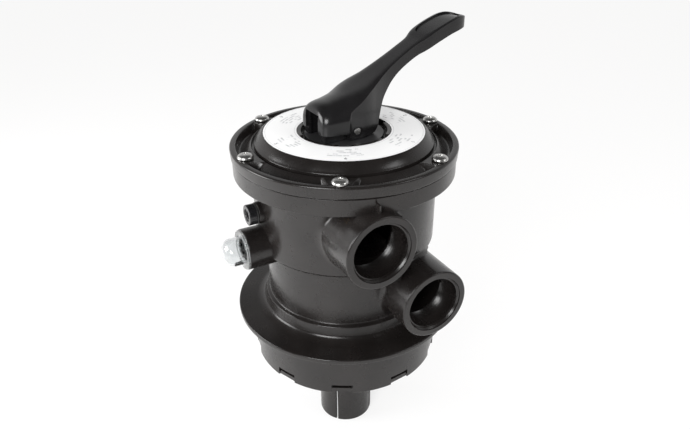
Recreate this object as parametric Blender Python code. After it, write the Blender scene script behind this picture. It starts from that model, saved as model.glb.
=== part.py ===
"""Top-mount multiport valve for a sand filter, as an assembly of separate pieces.

Lengths are millimetres and angles are degrees.  The origin is on the valve's axis at the
underside of the neck flange, which sits on the tank's neck.  +Z is up, and the two service
ports point along -Y.  An azimuth is measured from -Y towards +X.
"""

import bpy
import bmesh
from math import cos, pi, radians, sin
from mathutils import Matrix, Vector

MM = 0.001
GAP = 0.3                     # between pieces that touch
CUT = 2.0                     # how far a cutter runs past the face it opens
CUTTER_PHASE = 0.37           # of one side

ROUND_LARGE = 40              # sides of a turned shape, by its size
ROUND_MEDIUM = 24
ROUND_SMALL = 16
ROUND_TINY = 10
RING_SIDES = 5                # sides of a seal's section

# housing, from the tank upwards
SKIRT_R = 88.4
SKIRT_LENGTH = 46.1
SKIRT_WALL = 4.1
NECK_BORE_R = 78.0
NECK_FLANGE_R = 102.7
NECK_FLANGE_T = 4.3
NECK_FACE_R = SKIRT_R + 2.6   # the flange bears on the tank's neck outside its seal
NECK_FACE_RISE = 0.4
NECK_SEAL_R = 2.3
NECK_GROOVE_DEPTH = 3.4
LOWER_R = 72.2
LOWER_WALL = 4.2
LOWER_HEIGHT = 67.9
UPPER_R = 81.0
UPPER_WALL = 4.7
UPPER_HEIGHT = 65.8
TOP_FLANGE_R = 96.6
TOP_FLANGE_T = 14.5

UPPER_BASE_Z = NECK_FLANGE_T + LOWER_HEIGHT
FLANGE_BASE_Z = UPPER_BASE_Z + UPPER_HEIGHT
FLANGE_TOP_Z = FLANGE_BASE_Z + TOP_FLANGE_T
CHAMBER_R = UPPER_R - UPPER_WALL
POCKET_R = LOWER_R - LOWER_WALL
SKIRT_END_Z = -SKIRT_LENGTH

NOTCH_COUNT = 10
NOTCH_WIDTH = 19.0
NOTCH_HEIGHT = 9.0
NOTCH_AZIMUTH = -30.0
LUG_AZIMUTHS = (-118.0, 58.0)
LUG_REACH = 5.6
LUG_WIDTH = 16.0
LUG_DEPTH = 11.0

# ports: 1-1/2 in female pipe thread
PORT_BOSS_R = 31.4
PORT_BORE_R = 23.6
PORT_MOUTH_R = 25.0
PORT_CHAMFER = 2.4
PORT_REACH = 105.0
UPPER_PORT_X = -23.0
UPPER_PORT_Z = FLANGE_BASE_Z - 27.7
LOWER_PORT_X = 30.0
LOWER_PORT_Z = NECK_FLANGE_T + 39.8
WEB_T = 3.0

# distributor seat inside the housing
SECTORS = 6
SECTOR_AZIMUTH = 30.0
SECTOR_SPAN = 52.0
SEAT_Z = UPPER_BASE_Z + 5.8
SEAT_T = 4.0
HUB_R = 31.0
SOCKET_R = 32.6
HUB_DROP = 14.0
SECTOR_FLOOR_T = 3.7
CLOSED_SECTORS = (30.0, 150.0, -30.0)
CENTRE_SECTOR = -30.0
CENTRE_WINDOW_R = 20.0

# standpipe collar
TUBE_R = 26.8
TUBE_WALL = 2.5
TUBE_END_Z = -144.5
TUBE_TOP_Z = 38.0
TUBE_SLOTS = 4
TUBE_SLOT_W = 1.9
TUBE_SLOT_LENGTH = 62.0
TUBE_SLOT_AZIMUTH = -47.5

# sight glass and gauge plug, both pointing along -X
SIGHT_Z = UPPER_BASE_Z + 7.6
SIGHT_BOSS_R = 18.0
SIGHT_REACH = 98.3
SIGHT_CHAMBER_R = 11.0
SIGHT_DOME_R = 10.4
SIGHT_DOME_WALL = 1.8
SIGHT_DOME_REACH = 118.0
SIGHT_FLANGE_R = 14.4
SIGHT_FLANGE_T = 2.2
SIGHT_RECESS = 5.2
SIGHT_TAP_R = 2.5
PLUG_Z = FLANGE_BASE_Z - 26.3
PLUG_BOSS_R = 9.6
PLUG_BOSS_REACH = 84.6
PLUG_R = 7.2
PLUG_HEAD_R = 9.0
PLUG_HEAD_T = 6.6

# lid
LID_R = 98.0
LID_H = 10.3
RIM_W = 5.5
LID_SPIGOT_R = 73.4
LID_SPIGOT_DEPTH = 8.0
DOME_R = 77.2
DOME_EDGE_RISE = 1.4
GROOVE_W = 1.8
LABEL_R = 69.3
LABEL_RISE = 8.8
LABEL_T = 0.6
LABEL_HOLE_R = 40.6
LID_WALL = 4.0
HUB_WELL_R = 37.0
HUB_WELL_DEPTH = 6.1
BOSS_R = 20.0
BOSS_DROP = 5.6
DETENT_W = 11.0
DETENT_DEPTH = 4.4

LID_BASE_Z = FLANGE_TOP_Z + GAP
RIM_TOP_Z = LID_BASE_Z + LID_H
LABEL_Z = RIM_TOP_Z + LABEL_RISE
WELL_Z = LABEL_Z - HUB_WELL_DEPTH
BOSS_END_Z = LID_BASE_Z - BOSS_DROP
DETENT_COUNT = 6
DETENT_AZIMUTH = 33.0

# lid screws
SCREW_COUNT = 6
SCREW_CIRCLE_R = 89.6
SCREW_AZIMUTH = -30.0
SCREW_R = 2.5
SCREW_HEAD_R = 6.7
SCREW_HEAD_H = 3.6
SCREW_LENGTH = 22.0
PAD_INNER_HALF = 15.0
PAD_OUTER_HALF = 9.0
INSERT_R = 4.2
CHANNEL_DEPTH = 7.6

# diverter and its stem
ROTOR_R = 74.0
ROTOR_T = 5.7
ROTOR_HUB_R = 18.0
ROTOR_HUB_H = 26.0
ROTOR_RIB_T = 3.2
ROTOR_RIB_H = 11.0
STEM_R = 10.0
STEM_CLEARANCE = 0.4
PIN_RISE = 10.6
STEM_OVER_PIN = 8.0
GASKET_T = 2.2
SEAL_SECTION_R = 1.1
STEM_SEAL_RISES = (3.5, 9.0)

GASKET_Z = SEAT_Z + GAP
ROTOR_Z = GASKET_Z + GASKET_T + GAP
ROTOR_TOP_Z = ROTOR_Z + ROTOR_T
ROTOR_HUB_TOP_Z = ROTOR_TOP_Z + ROTOR_HUB_H
PIN_Z = WELL_Z + PIN_RISE
STEM_TOP_Z = PIN_Z + STEM_OVER_PIN
STEM_BORE_R = STEM_R + STEM_CLEARANCE

# return spring
SPRING_WIRE_R = 1.6
SPRING_R = 14.5
SPRING_TURNS = 5.5
SPRING_STEPS = 62
SPRING_WASHER_R = 18.0
SPRING_WASHER_T = 1.2

# handle, in its own frame: +X along the lever, the pin's axis along Y
LEVER_AZIMUTH = DETENT_AZIMUTH + 60.0
HANDLE_BASE_RISE = 4.0
SLOT_HALF = STEM_R + 0.5
SLOT_FRONT = 16.0
SLOT_ROOF = 15.6
PIN_R = 3.0
PIN_HALF = 22.2
WASHER_T = HANDLE_BASE_RISE - 2 * GAP
WASHER_R = 34.0


# ---------------------------------------------------------------- tools

def place(azimuth, radius, z=0.0):
    """A point at an azimuth and a distance from the valve's axis."""
    angle = radians(azimuth)
    return Vector((radius * sin(angle), -radius * cos(angle), z))


def turn_to(azimuth, z=0.0):
    """Turn +X to an azimuth, and lift by z."""
    return Matrix.Translation((0, 0, z)) @ Matrix.Rotation(radians(azimuth - 90), 4, "Z")


def along(direction, start):
    """Turn +Z to a direction, and start there."""
    turn = Vector((0, 0, 1)).rotation_difference(Vector(direction).normalized())
    return Matrix.Translation(start) @ turn.to_matrix().to_4x4()


def material(name, colour, roughness, metallic=0.0, transmission=0.0):
    made = bpy.data.materials.new(name)
    made.use_nodes = True
    shader = made.node_tree.nodes["Principled BSDF"]
    shader.inputs["Base Color"].default_value = (*colour, 1.0)
    shader.inputs["Roughness"].default_value = roughness
    shader.inputs["Metallic"].default_value = metallic
    shader.inputs["Transmission Weight"].default_value = transmission
    return made


FINISHES = {}


def add_object(name, shape, finish=None, origin=(0, 0, 0)):
    """Turn a bmesh in millimetres into an object in metres."""
    bmesh.ops.recalc_face_normals(shape, faces=shape.faces)
    bmesh.ops.translate(shape, verts=shape.verts, vec=-Vector(origin))
    bmesh.ops.scale(shape, verts=shape.verts, vec=(MM, MM, MM))
    mesh = bpy.data.meshes.new(name)
    shape.to_mesh(mesh)
    shape.free()
    made = bpy.data.objects.new(name, mesh)
    made.location = Vector(origin) * MM
    bpy.context.scene.collection.objects.link(made)
    if finish:
        mesh.materials.append(finish)
        mesh.shade_smooth()
        mesh.set_sharp_from_angle(angle=radians(32))
    return made


def turned(profile, sides, matrix=Matrix(), into=None, phase=0.0):
    """Turn a closed outline of (radius, height) points about the Z axis.

    A cutter takes a phase, so that its corners miss those of the piece it cuts.
    """
    shape = into or bmesh.new()
    rings = []
    for radius, height in profile:
        ring = []
        for side in range(sides if radius else 0):
            angle = 2 * pi * (side + phase) / sides
            point = Vector((radius * cos(angle), radius * sin(angle), height))
            ring.append(shape.verts.new(matrix @ point))
        rings.append(ring)
    for index, ring in enumerate(rings):
        after = (index + 1) % len(rings)
        lower_z, upper_z = profile[index][1], profile[after][1]
        upper = rings[after]
        if ring and upper:
            for side in range(sides):
                other = (side + 1) % sides
                shape.faces.new([ring[side], ring[other], upper[other], upper[side]])
        elif (ring or upper) and lower_z == upper_z:
            shape.faces.new(ring or upper)
        elif ring or upper:
            rim = ring or upper
            tip_z = upper_z if ring else lower_z
            tip = shape.verts.new(matrix @ Vector((0, 0, tip_z)))
            for side in range(sides):
                shape.faces.new([rim[side], rim[(side + 1) % sides], tip])
    return shape


def rod(radius, start, end, sides, into=None, phase=0.0):
    """A plain cylinder from one point to another."""
    start, end = Vector(start), Vector(end)
    length = (end - start).length
    outline = [(0, 0), (radius, 0), (radius, length), (0, length)]
    return turned(outline, sides, along(end - start, start), into, phase)


def drill(radius, start, end, sides, into=None):
    """A cylinder that cuts."""
    return rod(radius, start, end, sides, into, CUTTER_PHASE)


def prism(outline, low, high, matrix=Matrix(), into=None):
    """Raise a flat outline from one height to another."""
    shape = into or bmesh.new()
    bottom = [shape.verts.new(matrix @ Vector((x, y, low))) for x, y in outline]
    top = [shape.verts.new(matrix @ Vector((x, y, high))) for x, y in outline]
    shape.faces.new(bottom)
    shape.faces.new(top)
    for index in range(len(outline)):
        other = (index + 1) % len(outline)
        shape.faces.new([bottom[index], bottom[other], top[other], top[index]])
    return shape


def block(low, high, matrix=Matrix(), into=None):
    corners = [(low[0], low[1]), (high[0], low[1]), (high[0], high[1]), (low[0], high[1])]
    return prism(corners, low[2], high[2], matrix, into)


def wedge(azimuth, span, inner, outer, low, high, into=None):
    """A sector of a ring, between two radii."""
    steps = max(2, round(span / 7.5))
    angles = [azimuth - span / 2 + span * step / steps for step in range(steps + 1)]
    points = [place(angle, outer) for angle in angles]
    points += [place(angle, inner) for angle in reversed(angles)]
    return prism([(p.x, p.y) for p in points], low, high, Matrix(), into)


def seal(name, radius, section, z, finish, sides=ROUND_MEDIUM):
    """An O-ring about the valve's axis."""
    outline = []
    for step in range(RING_SIDES):
        angle = 2 * pi * (step + 0.5) / RING_SIDES
        outline.append((radius + section * cos(angle), z + section * sin(angle)))
    return add_object(name, turned(outline, sides), finish)


def washer(name, inner, outer, low, high, finish, sides=ROUND_MEDIUM):
    outline = [(inner, low), (outer, low), (outer, high), (inner, high)]
    return add_object(name, turned(outline, sides), finish)


def combine(target, operation, shape):
    """Add a Boolean to a piece, with its second shape hidden."""
    number = len(target.modifiers)
    helper = add_object(f"{target.name}_{operation.lower()}_{number}", shape)
    helper.hide_render = True
    helper.display_type = "WIRE"
    helper.parent = target
    helper.matrix_parent_inverse = Matrix.Translation(-target.location)
    made = target.modifiers.new(f"{operation} {number}", "BOOLEAN")
    made.operation = operation
    made.object = helper
    made.solver = "EXACT"


def around(count, first):
    return [first + 360.0 * index / count for index in range(count)]


# ---------------------------------------------------------------- housing

def housing_outline():
    """The housing's outside, solid to the axis."""
    groove_floor = SKIRT_R - NECK_GROOVE_DEPTH
    groove_end = -2 * NECK_SEAL_R - 2.6 * GAP
    lower_foot = NECK_FLANGE_T + 13.0
    return [
        (0, SKIRT_END_Z),
        (SKIRT_R, SKIRT_END_Z),
        (SKIRT_R - 0.4, groove_end),
        (groove_floor, groove_end),
        (groove_floor, NECK_FACE_RISE),
        (NECK_FACE_R, NECK_FACE_RISE),
        (NECK_FACE_R, 0),
        (NECK_FLANGE_R, 0),
        (NECK_FLANGE_R, NECK_FLANGE_T - 0.8),
        (NECK_FLANGE_R - 0.9, NECK_FLANGE_T),
        (LOWER_R + 11.0, NECK_FLANGE_T + 1.0),
        (LOWER_R + 6.4, NECK_FLANGE_T + 2.4),
        (LOWER_R + 4.2, NECK_FLANGE_T + 4.6),
        (LOWER_R + 3.0, lower_foot),
        (LOWER_R, lower_foot + 2.0),
        (LOWER_R - 0.4, UPPER_BASE_Z - 1.6),
        (LOWER_R + 1.0, UPPER_BASE_Z),
        (UPPER_R - 2.0, UPPER_BASE_Z),
        (UPPER_R, UPPER_BASE_Z + 2.0),
        (UPPER_R, FLANGE_BASE_Z - 1.5),
        (UPPER_R + 1.5, FLANGE_BASE_Z),
        (TOP_FLANGE_R - 0.6, FLANGE_BASE_Z),
        (TOP_FLANGE_R, FLANGE_BASE_Z + 0.8),
        (TOP_FLANGE_R, FLANGE_TOP_Z),
        (0, FLANGE_TOP_Z),
    ]


def ports():
    """Each port's axis: x, height and the way that it points along Y."""
    return [(UPPER_PORT_X, UPPER_PORT_Z, -1), (LOWER_PORT_X, LOWER_PORT_Z, -1),
            (LOWER_PORT_X, LOWER_PORT_Z, 1)]


def add_bosses(body):
    for x, z, way in ports():
        inside = (x, way * (POCKET_R - 24.0), z)
        combine(body, "UNION", rod(PORT_BOSS_R, inside, (x, way * PORT_REACH, z), ROUND_MEDIUM))
    combine(body, "UNION", rod(SIGHT_BOSS_R, (-LOWER_R + 6, 0, SIGHT_Z),
                               (-SIGHT_REACH, 0, SIGHT_Z), ROUND_MEDIUM))
    combine(body, "UNION", rod(PLUG_BOSS_R, (-CHAMBER_R - 2, 0, PLUG_Z),
                               (-PLUG_BOSS_REACH, 0, PLUG_Z), ROUND_SMALL))
    web_top = UPPER_PORT_Z - PORT_BOSS_R + 4.0
    web_low = LOWER_PORT_Z + PORT_BOSS_R - 8.0
    web_x = (UPPER_PORT_X + LOWER_PORT_X) / 2 + 1.0
    combine(body, "UNION", block((web_x - WEB_T / 2, -PORT_REACH + 17.0, web_low),
                                 (web_x + WEB_T / 2, -LOWER_R + 12.0, web_top)))
    for azimuth in LUG_AZIMUTHS:
        lug = block((SKIRT_R - 2.5, -LUG_WIDTH / 2, -LUG_DEPTH - 6.0),
                    (SKIRT_R + LUG_REACH, LUG_WIDTH / 2, -6.0), turn_to(azimuth))
        combine(body, "UNION", lug)


def cut_chambers(body):
    """Open the rotor chamber, the six sectors, the skirt and the standpipe bore."""
    chamber = drill(CHAMBER_R, (0, 0, SEAT_Z), (0, 0, FLANGE_TOP_Z + CUT), ROUND_LARGE)
    combine(body, "DIFFERENCE", chamber)
    neck_top = NECK_FLANGE_T - 2.8
    skirt = [
        (0, SKIRT_END_Z - CUT), (SKIRT_R - SKIRT_WALL, SKIRT_END_Z - CUT),
        (SKIRT_R - SKIRT_WALL, -11.0), (NECK_BORE_R, -8.0), (NECK_BORE_R, neck_top),
        (SOCKET_R, neck_top), (SOCKET_R, -HUB_DROP), (0, -HUB_DROP),
    ]
    combine(body, "DIFFERENCE", turned(skirt, ROUND_LARGE, phase=CUTTER_PHASE))
    bore = [
        (0, -HUB_DROP - CUT), (TUBE_R + GAP, -HUB_DROP - CUT),
        (TUBE_R + GAP, TUBE_TOP_Z + GAP), (CENTRE_WINDOW_R, TUBE_TOP_Z + GAP),
        (CENTRE_WINDOW_R, SEAT_Z + CUT), (0, SEAT_Z + CUT),
    ]
    combine(body, "DIFFERENCE", turned(bore, ROUND_MEDIUM, phase=CUTTER_PHASE))
    sectors = bmesh.new()
    for azimuth in around(SECTORS, SECTOR_AZIMUTH):
        wrapped = azimuth if azimuth <= 180 else azimuth - 360
        closed = wrapped in CLOSED_SECTORS
        floor = NECK_FLANGE_T + SECTOR_FLOOR_T if closed else -CUT
        wedge(azimuth, SECTOR_SPAN, HUB_R, POCKET_R, floor, SEAT_Z + CUT, sectors)
    combine(body, "DIFFERENCE", sectors)
    link = wedge(CENTRE_SECTOR, SECTOR_SPAN / 2, CENTRE_WINDOW_R - CUT, HUB_R + CUT,
                 TUBE_TOP_Z + 6.0, SEAT_Z - SEAT_T - 4.0)
    combine(body, "DIFFERENCE", link)


def cut_ports(body):
    for x, z, way in ports():
        mouth = along((0, way, 0), (x, 0, z))
        upper = z > SEAT_Z
        inner = CHAMBER_R - 20.0 if upper else POCKET_R - 22.0
        bore = [
            (0, inner), (PORT_BORE_R, inner), (PORT_BORE_R, PORT_REACH - PORT_CHAMFER),
            (PORT_MOUTH_R, PORT_REACH - PORT_CHAMFER * 0.4),
            (PORT_MOUTH_R, PORT_REACH + CUT), (0, PORT_REACH + CUT),
        ]
        combine(body, "DIFFERENCE", turned(bore, ROUND_MEDIUM, mouth, phase=CUTTER_PHASE))


def cut_fittings(body):
    west = along((-1, 0, 0), (0, 0, SIGHT_Z))
    floor = CHAMBER_R + 2.4
    seat = SIGHT_REACH - SIGHT_RECESS
    sight = [
        (0, floor), (SIGHT_CHAMBER_R, floor), (SIGHT_CHAMBER_R, seat),
        (SIGHT_FLANGE_R + GAP, seat), (SIGHT_FLANGE_R + GAP, SIGHT_REACH + CUT),
        (0, SIGHT_REACH + CUT),
    ]
    combine(body, "DIFFERENCE", turned(sight, ROUND_MEDIUM, west, phase=CUTTER_PHASE))
    tap_z = SIGHT_Z - SIGHT_CHAMBER_R + SIGHT_TAP_R
    tap = drill(SIGHT_TAP_R, (-POCKET_R + 4, 0, tap_z), (-floor - 3, 0, tap_z), ROUND_TINY)
    combine(body, "DIFFERENCE", tap)
    plug = drill(PLUG_R + GAP, (-CHAMBER_R + 4, 0, PLUG_Z),
               (-PLUG_BOSS_REACH - CUT, 0, PLUG_Z), ROUND_SMALL)
    combine(body, "DIFFERENCE", plug)


def cut_patterns(body):
    holes = bmesh.new()
    for azimuth in around(SCREW_COUNT, SCREW_AZIMUTH):
        at = place(azimuth, SCREW_CIRCLE_R)
        drill(INSERT_R + GAP, (at.x, at.y, FLANGE_BASE_Z - CUT), (at.x, at.y, FLANGE_TOP_Z + CUT),
            ROUND_TINY, holes)
    combine(body, "DIFFERENCE", holes)
    notches = bmesh.new()
    for azimuth in around(NOTCH_COUNT, NOTCH_AZIMUTH):
        block((SKIRT_R - SKIRT_WALL - CUT, -NOTCH_WIDTH / 2, SKIRT_END_Z - CUT),
              (SKIRT_R + CUT, NOTCH_WIDTH / 2, SKIRT_END_Z + NOTCH_HEIGHT),
              turn_to(azimuth), notches)
    combine(body, "DIFFERENCE", notches)


def make_housing(finish):
    body = add_object("valve_body", turned(housing_outline(), ROUND_LARGE), finish)
    add_bosses(body)
    cut_chambers(body)
    cut_ports(body)
    cut_fittings(body)
    cut_patterns(body)


# ---------------------------------------------------------------- lid

def lid_outline():
    """Half of the lid's section: hub well, label seat, dome, channel, rim and spigot."""
    channel = RIM_TOP_Z - CHANNEL_DEPTH
    rim_r = LID_R - RIM_W
    groove_r = DOME_R + GROOVE_W
    label_seat = LABEL_Z - LABEL_T - GAP
    under = LABEL_Z - LABEL_T - LID_WALL
    return [
        (STEM_BORE_R, BOSS_END_Z),
        (BOSS_R, BOSS_END_Z),
        (BOSS_R + 1.0, WELL_Z - LID_WALL),
        (HUB_WELL_R + 4.0, WELL_Z - LID_WALL),
        (HUB_WELL_R + 6.0, under - 1.0),
        (LABEL_R - 6.0, under - 1.0),
        (LID_SPIGOT_R - LID_WALL, LID_BASE_Z + 4.0),
        (LID_SPIGOT_R - LID_WALL, LID_BASE_Z - LID_SPIGOT_DEPTH),
        (LID_SPIGOT_R, LID_BASE_Z - LID_SPIGOT_DEPTH),
        (LID_SPIGOT_R, LID_BASE_Z),
        (LID_R - 0.7, LID_BASE_Z),
        (LID_R, RIM_TOP_Z - 0.8),
        (LID_R - 0.8, RIM_TOP_Z),
        (rim_r, RIM_TOP_Z),
        (rim_r - 1.6, channel + 0.9),
        (rim_r - 4.6, channel),
        (groove_r + 0.6, RIM_TOP_Z - 0.5),
        (groove_r, RIM_TOP_Z - 2.6),
        (DOME_R, RIM_TOP_Z - 2.6),
        (DOME_R, RIM_TOP_Z + DOME_EDGE_RISE),
        (LABEL_R, LABEL_Z),
        (LABEL_R, label_seat),
        (LABEL_HOLE_R - GAP, label_seat),
        (LABEL_HOLE_R - GAP, LABEL_Z),
        (HUB_WELL_R, LABEL_Z),
        (HUB_WELL_R, WELL_Z),
        (STEM_BORE_R, WELL_Z),
    ]


def make_lid(finish):
    lid = add_object("lid", turned(lid_outline(), ROUND_LARGE), finish)
    pads = bmesh.new()
    inner = DOME_R + GROOVE_W + 0.4
    outer = LID_R - RIM_W + 1.0
    pad = [(inner, -PAD_INNER_HALF), (outer, -PAD_OUTER_HALF),
           (outer, PAD_OUTER_HALF), (inner, PAD_INNER_HALF)]
    for azimuth in around(SCREW_COUNT, SCREW_AZIMUTH):
        prism(pad, RIM_TOP_Z - CHANNEL_DEPTH - 1.0, RIM_TOP_Z - 0.2, turn_to(azimuth), pads)
    combine(lid, "UNION", pads)
    holes = bmesh.new()
    for azimuth in around(SCREW_COUNT, SCREW_AZIMUTH):
        at = place(azimuth, SCREW_CIRCLE_R)
        drill(SCREW_R + GAP, (at.x, at.y, LID_BASE_Z - CUT), (at.x, at.y, RIM_TOP_Z + CUT),
            ROUND_TINY, holes)
    combine(lid, "DIFFERENCE", holes)
    detents = bmesh.new()
    for azimuth in around(DETENT_COUNT, DETENT_AZIMUTH):
        block((HUB_WELL_R - 1.0, -DETENT_W / 2, LABEL_Z - DETENT_DEPTH),
              (LABEL_HOLE_R - GAP + 0.5, DETENT_W / 2, LABEL_Z + CUT), turn_to(azimuth), detents)
    combine(lid, "DIFFERENCE", detents)
    washer("dial_label", LABEL_HOLE_R, LABEL_R - GAP, LABEL_Z - LABEL_T, LABEL_Z - 0.1,
           FINISHES["label"], ROUND_LARGE)


def make_screws():
    """Pan-head screws through the lid, each in a brass insert in the housing's flange."""
    head_z = RIM_TOP_Z + GAP
    screw = [
        (0, head_z - SCREW_LENGTH), (SCREW_R, head_z - SCREW_LENGTH + 1.0), (SCREW_R, head_z),
        (SCREW_HEAD_R, head_z), (SCREW_HEAD_R - 0.3, head_z + SCREW_HEAD_H * 0.5),
        (SCREW_HEAD_R * 0.6, head_z + SCREW_HEAD_H * 0.92), (0, head_z + SCREW_HEAD_H),
    ]
    insert = [(SCREW_R + GAP, FLANGE_BASE_Z + GAP), (INSERT_R, FLANGE_BASE_Z + GAP),
              (INSERT_R, FLANGE_TOP_Z - GAP), (SCREW_R + GAP, FLANGE_TOP_Z - GAP)]
    for number, azimuth in enumerate(around(SCREW_COUNT, SCREW_AZIMUTH), 1):
        at = Matrix.Translation(place(azimuth, SCREW_CIRCLE_R))
        add_object(f"lid_screw_{number}", turned(screw, ROUND_TINY, at), FINISHES["steel"])
        add_object(f"flange_insert_{number}", turned(insert, ROUND_TINY, at), FINISHES["brass"])


# ---------------------------------------------------------------- handle

def lever_side():
    """The lever's side view in (reach, height over the pin)."""
    base = HANDLE_BASE_RISE - PIN_RISE
    return [
        (-30.0, base), (19.5, base), (24.0, base + 4.6), (26.0, 6.0), (30.0, 18.5),
        (36.0, 27.0), (43.0, 34.5), (50.0, 40.0), (60.0, 46.0), (71.0, 51.6), (81.0, 56.4),
        (90.0, 60.2), (100.0, 64.0), (110.0, 66.6), (118.0, 68.6), (121.8, 71.4),
        (120.8, 75.0), (118.4, 77.8), (115.0, 79.4), (110.0, 79.8), (104.0, 78.6),
        (97.0, 76.4), (88.0, 73.0), (81.0, 69.8), (76.0, 67.0),
        (71.0, 63.6), (60.0, 57.8), (50.0, 52.4), (39.0, 46.4), (28.0, 40.2), (18.0, 35.0),
        (8.0, 30.4), (0.0, 26.6), (-9.0, 22.2), (-16.0, 18.4), (-23.0, 15.2), (-30.0, 13.2),
    ]


def lever_plan():
    """The lever's plan: half of its width at each reach, then mirrored."""
    half = [
        (-31.0, 15.5), (-28.5, 18.6), (-23.0, 21.2), (-15.0, 22.5), (-6.0, 23.0),
        (6.0, 22.4), (14.0, 20.2), (22.0, 16.8), (32.0, 13.3), (42.0, 11.2), (54.0, 10.2),
        (68.0, 10.4), (73.0, 12.6), (78.0, 14.2), (103.0, 14.2), (111.0, 12.6),
        (117.0, 9.2), (120.6, 4.8), (122.0, 0.0),
    ]
    return half + [(x, -y) for x, y in reversed(half[:-1])]


def make_handle(finish):
    pin = Vector((0, 0, PIN_Z))
    upright = Matrix.Translation(pin) @ Matrix.Rotation(radians(90), 4, "X")
    handle = add_object("handle", prism(lever_side(), -24.0, 24.0, upright), finish, pin)
    plan = prism(lever_plan(), -10.0 - PIN_RISE, 90.0, Matrix.Translation(pin))
    combine(handle, "INTERSECT", plan)
    slot = block((-34.0, -SLOT_HALF, -PIN_RISE), (SLOT_FRONT, SLOT_HALF, SLOT_ROOF),
                 Matrix.Translation(pin))
    combine(handle, "DIFFERENCE", slot)
    foot_cut = bmesh.new()
    for side in (-1, 1):
        low, high = sorted((side * 18.0, side * 26.0))
        block((-34.0, low, -PIN_RISE), (-8.0, high, 0.2), Matrix.Translation(pin), foot_cut)
    combine(handle, "DIFFERENCE", foot_cut)
    heel_cut = block((-34.0, -26.0, -PIN_RISE), (-28.4, 26.0, 0.2), Matrix.Translation(pin))
    combine(handle, "DIFFERENCE", heel_cut)
    hole = drill(PIN_R + GAP, pin - Vector((0, 30, 0)), pin + Vector((0, 30, 0)), ROUND_SMALL)
    combine(handle, "DIFFERENCE", hole)
    handle.rotation_euler.z = radians(LEVER_AZIMUTH - 90)


def make_pin(finish):
    across = place(LEVER_AZIMUTH - 90, 1.0)
    centre = Vector((0, 0, PIN_Z))
    chamfer = 0.5
    outline = [(0, -PIN_HALF), (PIN_R - chamfer, -PIN_HALF), (PIN_R, -PIN_HALF + chamfer),
               (PIN_R, PIN_HALF - chamfer), (PIN_R - chamfer, PIN_HALF), (0, PIN_HALF)]
    pin = turned(outline, ROUND_SMALL, along(across, centre))
    add_object("handle_pin", pin, finish, centre)


# ---------------------------------------------------------------- inside

def stem_seal_heights():
    return [BOSS_END_Z + rise for rise in STEM_SEAL_RISES]


def rotor_outline():
    """Diverter disc, hub and stem, with a groove for each stem seal."""
    groove_r = STEM_R - 2 * SEAL_SECTION_R - 0.2
    half = SEAL_SECTION_R + GAP
    points = [
        (0, ROTOR_Z), (ROTOR_R, ROTOR_Z), (ROTOR_R, ROTOR_TOP_Z),
        (ROTOR_HUB_R + 4.0, ROTOR_TOP_Z + 1.0), (ROTOR_HUB_R, ROTOR_TOP_Z + 5.0),
        (ROTOR_HUB_R - 1.0, ROTOR_HUB_TOP_Z), (STEM_R, ROTOR_HUB_TOP_Z),
    ]
    for z in stem_seal_heights():
        points += [(STEM_R, z - half), (groove_r, z - half), (groove_r, z + half),
                   (STEM_R, z + half)]
    points += [(STEM_R, STEM_TOP_Z - 1.5), (STEM_R - 1.5, STEM_TOP_Z), (0, STEM_TOP_Z)]
    return points


def make_rotor(finish):
    rotor = add_object("diverter_rotor", turned(rotor_outline(), ROUND_MEDIUM), finish)
    ribs = bmesh.new()
    for azimuth in around(SECTORS, 0.0):
        block((ROTOR_HUB_R - 4.0, -ROTOR_RIB_T / 2, ROTOR_TOP_Z - 1.0),
              (ROTOR_R - 4.0, ROTOR_RIB_T / 2, ROTOR_TOP_Z + ROTOR_RIB_H), turn_to(azimuth), ribs)
    combine(rotor, "UNION", ribs)
    window = wedge(-150.0, 44.0, HUB_R, POCKET_R - 1.0, ROTOR_Z - CUT, ROTOR_TOP_Z + CUT)
    combine(rotor, "DIFFERENCE", window)
    bridge = wedge(60.0, 104.0, HUB_R, POCKET_R - 1.0, ROTOR_Z - CUT, ROTOR_Z + 3.6)
    combine(rotor, "DIFFERENCE", bridge)
    across = place(LEVER_AZIMUTH - 90, STEM_R + CUT)
    centre = Vector((0, 0, PIN_Z))
    combine(rotor, "DIFFERENCE", drill(PIN_R + GAP, centre - across, centre + across, ROUND_SMALL))


def make_gasket(finish):
    outline = [(CENTRE_WINDOW_R + 1.0, GASKET_Z), (CHAMBER_R - GAP, GASKET_Z),
               (CHAMBER_R - GAP, GASKET_Z + GASKET_T),
               (CENTRE_WINDOW_R + 1.0, GASKET_Z + GASKET_T)]
    gasket = add_object("seat_gasket", turned(outline, ROUND_MEDIUM), finish)
    windows = bmesh.new()
    for azimuth in around(SECTORS, SECTOR_AZIMUTH):
        wedge(azimuth, SECTOR_SPAN, HUB_R, POCKET_R, GASKET_Z - CUT, GASKET_Z + GASKET_T + CUT,
              windows)
    combine(gasket, "DIFFERENCE", windows)


def make_spring(finish):
    """A compression spring about the stem, as one tube along a helix."""
    low = ROTOR_HUB_TOP_Z + GAP + SPRING_WIRE_R
    high = BOSS_END_Z - 2 * GAP - SPRING_WASHER_T - SPRING_WIRE_R
    shape = bmesh.new()
    rings = []
    for step in range(SPRING_STEPS + 1):
        share = step / SPRING_STEPS
        angle = 2 * pi * SPRING_TURNS * share
        outward = Vector((cos(angle), sin(angle), 0))
        centre = outward * SPRING_R + Vector((0, 0, low + (high - low) * share))
        ring = []
        for side in range(RING_SIDES):
            turn = 2 * pi * side / RING_SIDES
            offset = outward * cos(turn) + Vector((0, 0, sin(turn)))
            ring.append(shape.verts.new(centre + offset * SPRING_WIRE_R))
        rings.append(ring)
    for ring, after in zip(rings, rings[1:]):
        for side in range(RING_SIDES):
            other = (side + 1) % RING_SIDES
            shape.faces.new([ring[side], ring[other], after[other], after[side]])
    shape.faces.new(rings[0])
    shape.faces.new(rings[-1])
    add_object("return_spring", shape, finish)


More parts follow.
